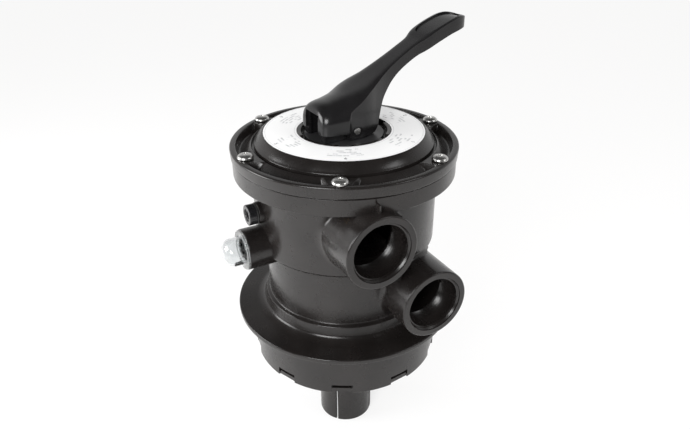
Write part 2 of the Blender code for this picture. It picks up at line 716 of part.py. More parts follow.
def make_tube(finish):
    """The slotted collar that grips the filter's standpipe."""
    inner = TUBE_R - TUBE_WALL
    outline = [(inner, TUBE_END_Z), (TUBE_R, TUBE_END_Z), (TUBE_R, TUBE_TOP_Z - 8.0),
               (TUBE_R - 1.2, TUBE_TOP_Z), (inner, TUBE_TOP_Z)]
    tube = add_object("standpipe_collar", turned(outline, ROUND_MEDIUM), finish)
    slots = bmesh.new()
    for azimuth in around(TUBE_SLOTS, TUBE_SLOT_AZIMUTH):
        block((inner - CUT, -TUBE_SLOT_W / 2, TUBE_END_Z - CUT),
              (TUBE_R + CUT, TUBE_SLOT_W / 2, TUBE_END_Z + TUBE_SLOT_LENGTH),
              turn_to(azimuth), slots)
    combine(tube, "DIFFERENCE", slots)


def make_diffuser(finish):
    """The slotted ring that snaps into the skirt's notches."""
    outer = SKIRT_R - SKIRT_WALL - GAP
    low = SKIRT_END_Z + 0.6
    high = low + 4.4
    outline = [(outer - 10.0, low), (outer, low), (outer, high), (outer - 8.0, high),
               (outer - 10.0, high - 2.0)]
    ring = add_object("diffuser_ring", turned(outline, ROUND_LARGE), finish)
    tabs = bmesh.new()
    for azimuth in around(NOTCH_COUNT, NOTCH_AZIMUTH):
        block((outer - 2.0, -NOTCH_WIDTH / 2 + 1.0, low + 0.2),
              (SKIRT_R - 1.6, NOTCH_WIDTH / 2 - 1.0, high - 0.2), turn_to(azimuth), tabs)
    combine(ring, "UNION", tabs)


def make_sight_glass():
    west = along((-1, 0, 0), (0, 0, SIGHT_Z))
    seat = SIGHT_REACH - SIGHT_RECESS
    gasket_t = 1.4
    glass = seat + 2 * GAP + gasket_t
    flange_top = glass + SIGHT_FLANGE_T
    shoulder = SIGHT_DOME_REACH - SIGHT_DOME_R * 0.55
    wall = SIGHT_DOME_WALL
    inner = SIGHT_DOME_R - wall
    dome = [
        (SIGHT_FLANGE_R, glass), (SIGHT_FLANGE_R, flange_top), (SIGHT_DOME_R, flange_top),
        (SIGHT_DOME_R, shoulder),
        (SIGHT_DOME_R * 0.8, shoulder + (SIGHT_DOME_REACH - shoulder) * 0.62),
        (SIGHT_DOME_R * 0.42, SIGHT_DOME_REACH - 0.5), (0, SIGHT_DOME_REACH),
        (0, SIGHT_DOME_REACH - wall), (inner * 0.55, SIGHT_DOME_REACH - wall - 0.9),
        (inner, shoulder - 0.6), (inner, glass),
    ]
    shape = turned(dome, ROUND_MEDIUM, west)
    add_object("sight_glass", shape, FINISHES["clear"])
    gasket = [(SIGHT_CHAMBER_R, seat + GAP), (SIGHT_FLANGE_R, seat + GAP),
              (SIGHT_FLANGE_R, seat + GAP + gasket_t), (SIGHT_CHAMBER_R, seat + GAP + gasket_t)]
    add_object("sight_gasket", turned(gasket, ROUND_SMALL, west), FINISHES["rubber"])
    ring_low = SIGHT_REACH + GAP
    ring = [
        (SIGHT_DOME_R + GAP, flange_top + GAP), (SIGHT_FLANGE_R, flange_top + GAP),
        (SIGHT_FLANGE_R, ring_low), (SIGHT_BOSS_R - 0.4, ring_low),
        (SIGHT_BOSS_R - 0.9, ring_low + 1.5), (SIGHT_DOME_R + GAP, ring_low + 1.5),
    ]
    add_object("sight_retainer", turned(ring, ROUND_MEDIUM, west), FINISHES["clear"])


def make_gauge_plug():
    west = along((-1, 0, 0), (0, 0, PLUG_Z))
    seal_t = 1.2
    seal_low = PLUG_BOSS_REACH + GAP
    head_low = seal_low + seal_t + GAP
    head_top = head_low + PLUG_HEAD_T - 0.6
    socket_r = 3.6
    plug = [
        (0, CHAMBER_R + 1.0), (PLUG_R - 1.0, CHAMBER_R + 1.0), (PLUG_R, CHAMBER_R + 2.0),
        (PLUG_R, head_low), (PLUG_HEAD_R, head_low), (PLUG_HEAD_R, head_top),
        (PLUG_HEAD_R - 0.8, head_top + 0.6), (socket_r, head_top + 0.6),
        (socket_r, head_top - 3.0), (0, head_top - 3.0),
    ]
    add_object("gauge_plug", turned(plug, ROUND_SMALL, west), FINISHES["plastic"])
    ring = [(PLUG_R + GAP, seal_low), (PLUG_HEAD_R, seal_low),
            (PLUG_HEAD_R, seal_low + seal_t), (PLUG_R + GAP, seal_low + seal_t)]
    add_object("plug_seal", turned(ring, ROUND_SMALL, west), FINISHES["rubber"])


def make_seals(finish):
    seal("lid_oring", (LID_SPIGOT_R + CHAMBER_R) / 2, (CHAMBER_R - LID_SPIGOT_R) / 2 - GAP,
         LID_BASE_Z - LID_SPIGOT_DEPTH / 2, finish, ROUND_LARGE)
    seal("neck_oring", SKIRT_R - NECK_GROOVE_DEPTH + GAP + NECK_SEAL_R, NECK_SEAL_R,
         -NECK_SEAL_R - 1.3 * GAP, finish, ROUND_LARGE)
    for number, z in enumerate(stem_seal_heights(), 1):
        radius = STEM_R - SEAL_SECTION_R + 0.1
        seal(f"stem_oring_{number}", radius, SEAL_SECTION_R, z, finish, ROUND_SMALL)


def clear_scene():
    for item in list(bpy.data.objects):
        bpy.data.objects.remove(item, do_unlink=True)


def make_finishes():
    FINISHES["plastic"] = material("black_plastic", (0.02, 0.02, 0.021), 0.35)
    FINISHES["label"] = material("printed_label", (0.85, 0.85, 0.84), 0.5)
    FINISHES["steel"] = material("stainless_steel", (0.6, 0.6, 0.6), 0.25, 1.0)
    FINISHES["brass"] = material("brass", (0.65, 0.48, 0.2), 0.35, 1.0)
    FINISHES["rubber"] = material("seal_rubber", (0.015, 0.015, 0.015), 0.7)
    FINISHES["washer"] = material("natural_plastic", (0.2, 0.2, 0.2), 0.4)
    FINISHES["clear"] = material("clear_plastic", (0.9, 0.92, 0.92), 0.08, 0.0, 0.9)


def main():
    clear_scene()
    make_finishes()
    make_housing(FINISHES["plastic"])
    make_lid(FINISHES["plastic"])
    make_screws()
    make_handle(FINISHES["plastic"])
    make_pin(FINISHES["steel"])
    washer("thrust_washer", STEM_R + 0.5, WASHER_R, WELL_Z + GAP, WELL_Z + GAP + WASHER_T,
           FINISHES["washer"])
    make_rotor(FINISHES["plastic"])
    make_gasket(FINISHES["rubber"])
    make_spring(FINISHES["steel"])
    washer("spring_washer", STEM_R + 0.5, SPRING_WASHER_R, BOSS_END_Z - GAP - SPRING_WASHER_T,
           BOSS_END_Z - GAP, FINISHES["steel"], ROUND_SMALL)
    make_tube(FINISHES["plastic"])
    make_diffuser(FINISHES["plastic"])
    make_sight_glass()
    make_gauge_plug()
    make_seals(FINISHES["rubber"])


main()
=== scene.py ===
"""The looks of a top-mount multiport valve: moulded black plastic, printed dial and clear sight glass.

Sizes are millimetres until a piece is finished, and angles are degrees.  The origin is on the
valve's axis at the underside of the neck flange, with +Z up and the service ports along -Y.
An azimuth is measured from -Y towards +X.
"""

from math import cos, exp, pi, radians, sin, sqrt

import bmesh
import bpy
from mathutils import Matrix, Vector


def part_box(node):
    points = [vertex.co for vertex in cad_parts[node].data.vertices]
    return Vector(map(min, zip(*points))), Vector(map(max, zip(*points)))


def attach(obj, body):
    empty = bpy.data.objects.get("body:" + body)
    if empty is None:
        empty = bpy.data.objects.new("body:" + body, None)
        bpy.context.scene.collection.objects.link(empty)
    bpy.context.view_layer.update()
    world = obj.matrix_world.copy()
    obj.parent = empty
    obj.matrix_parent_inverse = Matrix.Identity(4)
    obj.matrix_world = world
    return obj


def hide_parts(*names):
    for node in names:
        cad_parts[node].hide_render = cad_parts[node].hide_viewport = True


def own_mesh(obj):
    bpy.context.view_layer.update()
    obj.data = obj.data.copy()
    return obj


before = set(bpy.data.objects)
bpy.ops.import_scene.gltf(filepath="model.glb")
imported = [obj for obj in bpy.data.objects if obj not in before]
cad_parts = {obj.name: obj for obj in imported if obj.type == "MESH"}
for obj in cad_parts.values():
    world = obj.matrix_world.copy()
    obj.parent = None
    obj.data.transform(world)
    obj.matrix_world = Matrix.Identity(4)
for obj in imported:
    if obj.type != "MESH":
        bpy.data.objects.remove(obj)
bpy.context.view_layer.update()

MM = 0.001
SIDES_BODY = 180
SIDES_PORT = 96
SIDES_SMALL = 48
ROUND_STEPS = 5               # points on a rounded corner
EDGE_ROUND = 0.6


# ---------------------------------------------------------------- sizes from the frame

def node_box(node):
    low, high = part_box(node)
    return low / MM, high / MM


BODY_LOW, BODY_HIGH = node_box("valve_body")
LID_LOW, LID_HIGH = node_box("lid")
LABEL_LOW, LABEL_HIGH = node_box("dial_label")
SCREW_LOW, SCREW_HIGH = node_box("lid_screw_1")
TUBE_LOW, TUBE_HIGH = node_box("standpipe_collar")
RING_LOW, RING_HIGH = node_box("diffuser_ring")
GLASS_LOW = node_box("sight_glass")[0]
PLUG_LOW = node_box("gauge_plug")[0]
WASHER_LOW, WASHER_HIGH = node_box("thrust_washer")
PIN_LOW, PIN_HIGH = node_box("handle_pin")
NECK_SEAL_LOW, NECK_SEAL_HIGH = node_box("neck_oring")

# housing
SKIRT_R, SKIRT_WALL, SKIRT_END_Z = 88.4, 4.1, BODY_LOW.z
NECK_FLANGE_R, NECK_FLANGE_T, NECK_BORE_R = 102.7, 4.3, 78.0
LOWER_R, LOWER_WALL = 72.2, 4.2
UPPER_R, UPPER_WALL, UPPER_BASE_Z = 81.0, 4.7, 72.2
FLANGE_TOP_Z, TOP_FLANGE_T, TOP_FLANGE_R = BODY_HIGH.z, 14.5, 96.6
FLANGE_BASE_Z = FLANGE_TOP_Z - TOP_FLANGE_T
CHAMBER_R = UPPER_R - UPPER_WALL
POCKET_R = LOWER_R - LOWER_WALL
SEAT_Z = UPPER_BASE_Z + 5.8
HUB_R, SOCKET_R, HUB_DROP = 31.0, 32.6, 14.0
SECTORS, SECTOR_AZIMUTH, SECTOR_SPAN = 6, 30.0, 52.0
CLOSED_SECTORS = (30.0, 150.0, 330.0)
SECTOR_FLOOR_Z = NECK_FLANGE_T + 3.7
CENTRE_WINDOW_R = 20.0
NOTCHES, NOTCH_AZIMUTH, NOTCH_WIDTH, NOTCH_HEIGHT = 10, -30.0, 19.0, 9.0
LUG_AZIMUTHS, LUG_REACH, LUG_WIDTH = (-118.0, 58.0), 5.6, 16.0
INSERT_HOLE_R = 4.5

# ports
PORT_R, PORT_BORE_R, PORT_MOUTH_R, PORT_REACH = 31.4, 24.4, 25.6, -BODY_LOW.y
PORT_CHAMFER, ROOT_ROUND = 2.6, 4.0
THREAD_PITCH, THREAD_TURNS, THREAD_DEPTH = 2.209, 10.0, 1.25
PORTS = ((-23.0, FLANGE_BASE_Z - 27.7, -1), (30.0, NECK_FLANGE_T + 39.8, -1),
         (30.0, NECK_FLANGE_T + 39.8, 1))

# fittings along -X
SIGHT_Z, SIGHT_BOSS_R, SIGHT_REACH = UPPER_BASE_Z + 7.6, 18.0, 98.3
SIGHT_CHAMBER_R, DOME_GLASS_R, DOME_WALL = 11.0, 12.4, 1.8
GLASS_FLANGE_R, GLASS_FLANGE_T, SIGHT_RECESS = 14.4, 2.2, 5.2
PLUG_Z, PLUG_BOSS_R, PLUG_BOSS_REACH, PLUG_R = FLANGE_BASE_Z - 26.3, 9.6, 84.6, 7.2

# lid
LID_R, RIM_W, LID_BASE_Z = 98.0, 5.5, FLANGE_TOP_Z + 0.3
RIM_Z = LID_BASE_Z + 10.3
SPIGOT_R, SPIGOT_DEPTH = 73.4, 8.0
GROOVE_R, DOME_R, DOME_EDGE_Z = 79.0, 77.2, RIM_Z + 1.4
LABEL_Z, LABEL_R, LABEL_HOLE_R = LID_HIGH.z, 69.3, 40.6
WELL_R, WELL_Z = 37.0, LID_HIGH.z - 6.1
BOSS_END_Z, STEM_BORE_R = LID_LOW.z, 10.4
DETENT_AZIMUTH, DETENT_WIDTH, DETENT_DEPTH = 33.0, 11.0, 4.4
SCREWS, SCREW_AZIMUTH, SCREW_CIRCLE_R, SCREW_HEAD_T = 6, -30.0, 89.6, 3.6
PRINT_START_R, PRINT_ROW, PRINT_MIDDLE_R, PRINT_HALF = 45.0, 3.1, 52.8, 7.7
NUMERAL_CIRCLE_R, NUMERAL_SIZE = 64.2, 5.0
LID_SIDES, SCREW_SIDES = 900, 96

# lever, in its own frame: +X along the lever, heights over the pin
LEVER_AZIMUTH = 93.0
PIN_Z = (PIN_LOW.z + PIN_HIGH.z) / 2
LEVER_BASE = -6.6
PIN_R, PIN_HALF = 3.0, 22.2
SPRING_WIRE_R, SPRING_TURNS = 1.6, 5.5


# ---------------------------------------------------------------- shapes

def place(azimuth, radius, z=0.0):
    angle = radians(azimuth)
    return Vector((radius * sin(angle), -radius * cos(angle), z))


def turn_to(azimuth):
    """Turn +X to an azimuth."""
    return Matrix.Rotation(radians(azimuth - 90), 4, "Z")


def along(direction, start):
    """Turn +Z to a direction, and start there."""
    turn = Vector((0, 0, 1)).rotation_difference(Vector(direction).normalized())
    return Matrix.Translation(start) @ turn.to_matrix().to_4x4()


def around(count, first):
    return [(first + 360.0 * index / count) % 360.0 for index in range(count)]


def smoothstep(low, high, value):
    share = min(1.0, max(0.0, (value - low) / (high - low)))
    return share * share * (3 - 2 * share)


def curve_through(knots, x):
    """A smooth curve through (x, y) knots."""
    if x <= knots[0][0]:
        return knots[0][1]
    for index in range(len(knots) - 1):
        (x0, y0), (x1, y1) = knots[index], knots[index + 1]
        if x <= x1:
            before = knots[max(index - 1, 0)]
            after = knots[min(index + 2, len(knots) - 1)]
            slope_in = (y1 - before[1]) / (x1 - before[0])
            slope_out = (after[1] - y0) / (after[0] - x0)
            s, width = (x - x0) / (x1 - x0), x1 - x0
            return ((2 * s ** 3 - 3 * s ** 2 + 1) * y0 + (s ** 3 - 2 * s ** 2 + s) * width * slope_in
                    + (3 * s ** 2 - 2 * s ** 3) * y1 + (s ** 3 - s ** 2) * width * slope_out)
    return knots[-1][1]


def rounded(outline, size=EDGE_ROUND):
    """Round the corners of a closed outline; a point may carry its own radius."""
    points = []
    count = len(outline)
    for index, corner in enumerate(outline):
        here = Vector(corner[:2])
        before, after = Vector(outline[index - 1][:2]), Vector(outline[(index + 1) % count][:2])
        radius = corner[2] if len(corner) > 2 else size
        back, on = before - here, after - here
        if radius == 0 or here.x == 0 or back.length < 1e-6 or on.length < 1e-6:
            points.append((here.x, here.y))
            continue
        reach = min(radius, 0.42 * back.length, 0.42 * on.length)
        start, end = here + back.normalized() * reach, here + on.normalized() * reach
        for step in range(ROUND_STEPS):
            share = step / (ROUND_STEPS - 1)
            point = (1 - share) ** 2 * start + 2 * share * (1 - share) * here + share ** 2 * end
            points.append((point.x, point.y))
    return points


def lathe(outline, sides, matrix=Matrix(), phase=0.0, into=None):
    """Turn a closed outline of (radius, height) about the Z axis."""
    shape = into or bmesh.new()
    rings = []
    for radius, height in outline:
        ring = []
        for side in range(sides if radius > 0 else 0):
            angle = 2 * pi * (side + phase) / sides
            ring.append(shape.verts.new(matrix @ Vector((radius * cos(angle), radius * sin(angle),
                height))))
        rings.append(ring)
    for index, ring in enumerate(rings):
        after = (index + 1) % len(rings)
        other = rings[after]
        if ring and other:
            for side in range(sides):
                nxt = (side + 1) % sides
                shape.faces.new([ring[side], ring[nxt], other[nxt], other[side]])
        elif ring or other:
            rim = ring or other
            tip_z = outline[after][1] if ring else outline[index][1]
            if abs(outline[index][1] - outline[after][1]) < 1e-9:
                shape.faces.new(rim)
            else:
                tip = shape.verts.new(matrix @ Vector((0, 0, tip_z)))
                for side in range(sides):
                    shape.faces.new([rim[side], rim[(side + 1) % sides], tip])
    return shape


def rod(radius, start, end, sides, edge=0.0, phase=0.0, into=None):
    start, end = Vector(start), Vector(end)
    length = (end - start).length
    outline = [(0, 0), (radius, 0, 0), (radius, length, edge), (0, length)]
    return lathe(rounded(outline, 0.0), sides, along(end - start, start), phase, into)


def prism(outline, low, high, matrix=Matrix(), into=None):
    shape = into or bmesh.new()
    bottom = [shape.verts.new(matrix @ Vector((x, y, low))) for x, y in outline]
    top = [shape.verts.new(matrix @ Vector((x, y, high))) for x, y in outline]
    shape.faces.new(bottom)
    shape.faces.new(top)
    for index in range(len(outline)):
        nxt = (index + 1) % len(outline)
        shape.faces.new([bottom[index], bottom[nxt], top[nxt], top[index]])
    return shape


def block(low, high, matrix=Matrix(), into=None):
    corners = [(low[0], low[1]), (high[0], low[1]), (high[0], high[1]), (low[0], high[1])]
    return prism(corners, low[2], high[2], matrix, into)


def wedge(azimuth, span, inner, outer, low, high, into=None):
    steps = max(3, round(span / 3))
    angles = [azimuth - span / 2 + span * step / steps for step in range(steps + 1)]
    points = [place(angle, outer) for angle in angles]
    points += [place(angle, inner) for angle in reversed(angles)]
    return prism([(p.x, p.y) for p in points], low, high, Matrix(), into)


def loft(sections, close_ends=True, into=None):
    """Join closed loops of points, one after another."""
    shape = into or bmesh.new()
    loops = [[shape.verts.new(point) for point in section] for section in sections]
    for loop, after in zip(loops, loops[1:]):
        for index in range(len(loop)):
            nxt = (index + 1) % len(loop)
            shape.faces.new([loop[index], loop[nxt], after[nxt], after[index]])
    if close_ends:
        shape.faces.new(loops[0])
        shape.faces.new(loops[-1])
    else:
        for index in range(len(loops[0])):
            nxt = (index + 1) % len(loops[0])
            shape.faces.new([loops[-1][index], loops[-1][nxt], loops[0][nxt], loops[0][index]])
    return shape


def loose_object(shape, name="tool"):
    bmesh.ops.recalc_face_normals(shape, faces=shape.faces)
    mesh = bpy.data.meshes.new(name)
    shape.to_mesh(mesh)
    shape.free()
    made = bpy.data.objects.new(name, mesh)
    bpy.context.scene.collection.objects.link(made)
    return made


def evaluated_mesh(made):
    graph = bpy.context.evaluated_depsgraph_get()
    return bpy.data.meshes.new_from_object(made.evaluated_get(graph))


def carve(shape, steps):
    """Add to and cut a shape, one step after another."""
    body = loose_object(shape, "blank")
    tools = []
    for operation, tool in steps:
        tools.append(loose_object(tool))
        modifier = body.modifiers.new(operation, "BOOLEAN")
        modifier.operation = operation
        modifier.object = tools[-1]
        modifier.solver = "MANIFOLD"
    mesh = evaluated_mesh(body)
    for item in tools + [body]:
        bpy.data.objects.remove(item)
    carved = bmesh.new()
    carved.from_mesh(mesh)
    bmesh.ops.remove_doubles(carved, verts=carved.verts, dist=0.001)
    bpy.data.meshes.remove(mesh)
    return carved


def finish_piece(name, shape, finish, body, nodes=(), sharp=32.0):
    """Turn a shape into a smooth-shaded piece that rides on a body and stands for CAD nodes."""
    made = loose_object(shape, name)
    made.data.transform(Matrix.Scale(MM, 4))
    made.data.materials.clear()
    made.data.materials.append(finish)
    made.data.shade_smooth()
    made.data.set_sharp_from_angle(angle=radians(sharp))
    weighted = made.modifiers.new("even shading", "WEIGHTED_NORMAL")
    weighted.keep_sharp = True
    settled = evaluated_mesh(made)
    made.modifiers.clear()
    made.data = settled
    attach(made, body)
    if nodes:
        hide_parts(*nodes)
    return made


# ---------------------------------------------------------------- finishes

class Paint:
    """A material's node tree, with short calls for the nodes that the finishes share."""

    def __init__(self, name):
        self.material = bpy.data.materials.new(name)
        self.material.use_nodes = True
        self.nodes = self.material.node_tree.nodes
        self.links = self.material.node_tree.links
        self.shader = self.nodes["Principled BSDF"]
        self.place = self.nodes.new("ShaderNodeTexCoord").outputs["Object"]

    def link(self, source, target):
        self.links.new(source, target)

    def set(self, **values):
        for key, value in values.items():
            self.shader.inputs[key.replace("_", " ")].default_value = value

    def noise(self, scale, detail=3.0, roughness=0.5, vector=None):
        node = self.nodes.new("ShaderNodeTexNoise")
        node.inputs["Scale"].default_value = scale
        node.inputs["Detail"].default_value = detail
        node.inputs["Roughness"].default_value = roughness
        self.link(vector or self.place, node.inputs["Vector"])
        return node.outputs["Fac"]

    def spread(self, value, low, high, to_low=0.0, to_high=1.0):
        node = self.nodes.new("ShaderNodeMapRange")
        for key, number in zip(("From Min", "From Max", "To Min", "To Max"),
                               (low, high, to_low, to_high)):
            node.inputs[key].default_value = number
        self.link(value, node.inputs["Value"])
        return node.outputs["Result"]

    def math(self, operation, *values):
        node = self.nodes.new("ShaderNodeMath")
        node.operation = operation
        for socket, value in zip(node.inputs, values):
            if isinstance(value, (int, float)):
                socket.default_value = value
            else:
                self.link(value, socket)
        return node.outputs["Value"]

    def mix(self, share, first, second):
        node = self.nodes.new("ShaderNodeMix")
        node.data_type = "RGBA"
        for socket, value in ((node.inputs[0], share), (node.inputs[6], first),
                              (node.inputs[7], second)):
            if isinstance(value, tuple):
                socket.default_value = (*value, 1.0)
            elif isinstance(value, (int, float)):
                socket.default_value = value
            else:
                self.link(value, socket)
        return node.outputs[2]

    def colour(self, value):
        self.link(value, self.shader.inputs["Base Color"])

    def roughness(self, value):
        self.link(value, self.shader.inputs["Roughness"])

    def bump(self, height, distance, strength=1.0):
        node = self.nodes.new("ShaderNodeBump")
        node.inputs["Distance"].default_value = distance
        node.inputs["Strength"].default_value = strength
        self.link(height, node.inputs["Height"])
        self.link(node.outputs["Normal"], self.shader.inputs["Normal"])


def moulded_plastic(name, dark, light, rough_low, rough_high, grain=0.00004):
    """Injection-moulded plastic: flow marks in its sheen, fine grain and a little dust."""
    paint = Paint(name)
    flow = paint.noise(28.0, 3.0, 0.55)
    paint.colour(paint.mix(paint.spread(flow, 0.35, 0.7), dark, light))
    fine = paint.noise(900.0, 2.0)
    marks = paint.noise(90.0, 4.0, 0.6)
    paint.roughness(paint.spread(marks, 0.3, 0.7, rough_low, rough_high))
    paint.bump(paint.math("ADD", paint.math("MULTIPLY", fine, 0.35), marks), grain, 0.5)
    paint.set(Specular_IOR_Level=0.4)
    return paint.material


def bright_steel(name, colour, rough_low, rough_high):
    paint = Paint(name)
    brushed = paint.noise(1400.0, 2.0)
    stain = paint.noise(120.0, 3.0)
    paint.colour(paint.mix(paint.spread(stain, 0.3, 0.75), colour, tuple(c * 0.8 for c in colour)))
    paint.roughness(paint.spread(brushed, 0.3, 0.7, rough_low, rough_high))
    paint.set(Metallic=1.0)
    return paint.material


def seal_rubber(name):
    paint = Paint(name)
    bloom = paint.noise(160.0, 4.0)
    paint.colour(paint.mix(paint.spread(bloom, 0.35, 0.75), (0.012, 0.012, 0.012),
                           (0.035, 0.035, 0.035)))
    paint.roughness(paint.spread(bloom, 0.3, 0.7, 0.5, 0.75))
    paint.bump(paint.noise(1200.0), 0.00004, 0.5)
    return paint.material


def clear_plastic(name, tint, haze_low, haze_high):
    paint = Paint(name)
    haze = paint.noise(70.0, 3.0)
    paint.colour(paint.mix(paint.spread(haze, 0.3, 0.7), tint, tuple(c * 0.97 for c in tint)))
    paint.roughness(paint.spread(haze, 0.3, 0.7, haze_low, haze_high))
    paint.set(Transmission_Weight=1.0, IOR=1.49)
    return paint.material


def printed_label(name):
    """White film with a ring of faint print in six fields, and a thin border line."""
    paint = Paint(name)
    split = paint.nodes.new("ShaderNodeSeparateXYZ")
    paint.link(paint.place, split.inputs["Vector"])
    x, y = (paint.math("DIVIDE", split.outputs[axis], MM) for axis in "XY")
    radius = paint.math("SQRT", paint.math("ADD", paint.math("MULTIPLY", x, x),
        paint.math("MULTIPLY", y, y)))
    angle = paint.math("ARCTAN2", y, x)
    row = paint.math("DIVIDE", paint.math("SUBTRACT", radius, PRINT_START_R), PRINT_ROW)
    row_number = paint.math("FLOOR", row)
    in_row = paint.math("LESS_THAN",
                        paint.math("ABSOLUTE",
                            paint.math("SUBTRACT", paint.math("FRACT", row), 0.45)), 0.26)
    across = paint.nodes.new("ShaderNodeCombineXYZ")
    paint.link(paint.math("MULTIPLY", angle, 55.0), across.inputs["X"])
    paint.link(paint.math("MULTIPLY", row_number, 7.3), across.inputs["Y"])
    words = paint.math("GREATER_THAN", paint.noise(0.16, 0.0, vector=across.outputs["Vector"]),
                       0.5)
    letters = paint.math("GREATER_THAN", paint.noise(1.1, 1.0, vector=across.outputs["Vector"]),
                         0.44)
    field = paint.math("GREATER_THAN",
                       paint.math("COSINE",
                           paint.math("MULTIPLY",
                               paint.math("SUBTRACT", angle, radians(DETENT_AZIMUTH - 90)), 6.0)),
                               0.1)
    band = paint.math("LESS_THAN",
                      paint.math("ABSOLUTE", paint.math("SUBTRACT", radius, PRINT_MIDDLE_R)),
                      PRINT_HALF)
    ink = in_row
    for part in (words, letters, field, band):
        ink = paint.math("MULTIPLY", ink, part)
    for line_r in (LABEL_R - 2.0, LABEL_HOLE_R + 1.8):
        line = paint.math("LESS_THAN",
                          paint.math("ABSOLUTE", paint.math("SUBTRACT", radius, line_r)), 0.22)
        ink = paint.math("MAXIMUM", ink, paint.math("MULTIPLY", line, 0.8))
    film = paint.mix(paint.noise(60.0), (0.84, 0.845, 0.85), (0.8, 0.805, 0.81))
    paint.colour(paint.mix(paint.math("MULTIPLY", ink, 0.5), film, (0.13, 0.14, 0.16)))
    paint.roughness(paint.spread(paint.noise(200.0), 0.3, 0.7, 0.3, 0.42))
    return paint.material


BLACK = moulded_plastic("moulded_black", (0.0078, 0.0066, 0.0062), (0.0135, 0.0115, 0.0108), 0.2,
                        0.3)
LEVER_BLACK = moulded_plastic("lever_black", (0.0058, 0.0055, 0.0058), (0.0092, 0.0088, 0.0094),
                              0.17, 0.26, 0.00005)
FITTING_BLACK = moulded_plastic("fitting_black", (0.010, 0.010, 0.011), (0.015, 0.015, 0.016),
                                0.14, 0.24)
WASHER_BLACK = moulded_plastic("washer_black", (0.018, 0.018, 0.019), (0.026, 0.026, 0.027), 0.3,
                               0.42)
STEEL = bright_steel("stainless", (0.62, 0.615, 0.6), 0.22, 0.36)
BRASS = bright_steel("insert_brass", (0.66, 0.47, 0.2), 0.28, 0.42)
RUBBER = seal_rubber("seal_rubber")
CLEAR = clear_plastic("sight_clear", (0.87, 0.885, 0.89), 0.01, 0.04)
FROSTED = clear_plastic("retainer_clear", (0.93, 0.94, 0.94), 0.22, 0.34)
LABEL = printed_label("dial_print")
NUMERAL = moulded_plastic("numeral_ink", (0.04, 0.045, 0.055), (0.06, 0.065, 0.075), 0.4, 0.5)


# ---------------------------------------------------------------- geometry node trees

def node_tree(name, sizes):
    """An empty tree with named inputs: sizes gives each socket's name and kind."""
    tree = bpy.data.node_groups.new(name, "GeometryNodeTree")
    tree.interface.new_socket("Geometry", in_out="OUTPUT", socket_type="NodeSocketGeometry")
    sockets = {key: tree.interface.new_socket(key, in_out="INPUT", socket_type=kind) for key,
               kind in sizes.items()}
    source, result = tree.nodes.new("NodeGroupInput"), tree.nodes.new("NodeGroupOutput")
    return tree, source, result, {key: socket.identifier for key, socket in sockets.items()}


def end_tree(tree, geometry, finish, result):
    """Realize Instances and Set Material, then the tree's output."""
    real = tree.nodes.new("GeometryNodeRealizeInstances")
    paint = tree.nodes.new("GeometryNodeSetMaterial")
    paint.inputs["Material"].default_value = finish
    tree.links.new(geometry, real.inputs["Geometry"])
    tree.links.new(real.outputs["Geometry"], paint.inputs["Geometry"])
    tree.links.new(paint.outputs["Geometry"], result.inputs["Geometry"])


def grow(tree, names, values):
    """Run a tree and return its result as a shape in millimetres."""
    holder = bpy.data.objects.new("holder", bpy.data.meshes.new("holder"))
    bpy.context.scene.collection.objects.link(holder)
    modifier = holder.modifiers.new("grow", "NODES")
    modifier.node_group = tree
    for key, value in values.items():
        modifier[names[key]] = value
    mesh = evaluated_mesh(holder)
    bpy.data.objects.remove(holder)
    shape = bmesh.new()
    shape.from_mesh(mesh)
    bpy.data.meshes.remove(mesh)
    return shape


def helix_tree(finish):
    """A wire or a ridge along a helix."""
    tree, source, result, names = node_tree("helix", {
        "Section sides": "NodeSocketInt",
        "Radius": "NodeSocketFloat", "Top radius": "NodeSocketFloat", "Turns": "NodeSocketFloat",
        "Length": "NodeSocketFloat", "Ridge": "NodeSocketFloat"})
    helix, ridge = tree.nodes.new("GeometryNodeCurveSpiral"), tree.nodes.new("GeometryNodeCurvePrimitiveCircle")
    sweep = tree.nodes.new("GeometryNodeCurveToMesh")
    helix.inputs["Resolution"].default_value = 64
    tree.links.new(source.outputs["Section sides"], ridge.inputs["Resolution"])
    sweep.inputs["Fill Caps"].default_value = True
    for socket, key in (("Rotations", "Turns"), ("Start Radius", "Radius"),
                        ("End Radius", "Top radius"), ("Height", "Length")):
        tree.links.new(source.outputs[key], helix.inputs[socket])
    tree.links.new(source.outputs["Ridge"], ridge.inputs["Radius"])
    tree.links.new(helix.outputs["Curve"], sweep.inputs["Curve"])
    tree.links.new(ridge.outputs["Curve"], sweep.inputs["Profile Curve"])
    end_tree(tree, sweep.outputs["Mesh"], finish, result)
    return tree, names


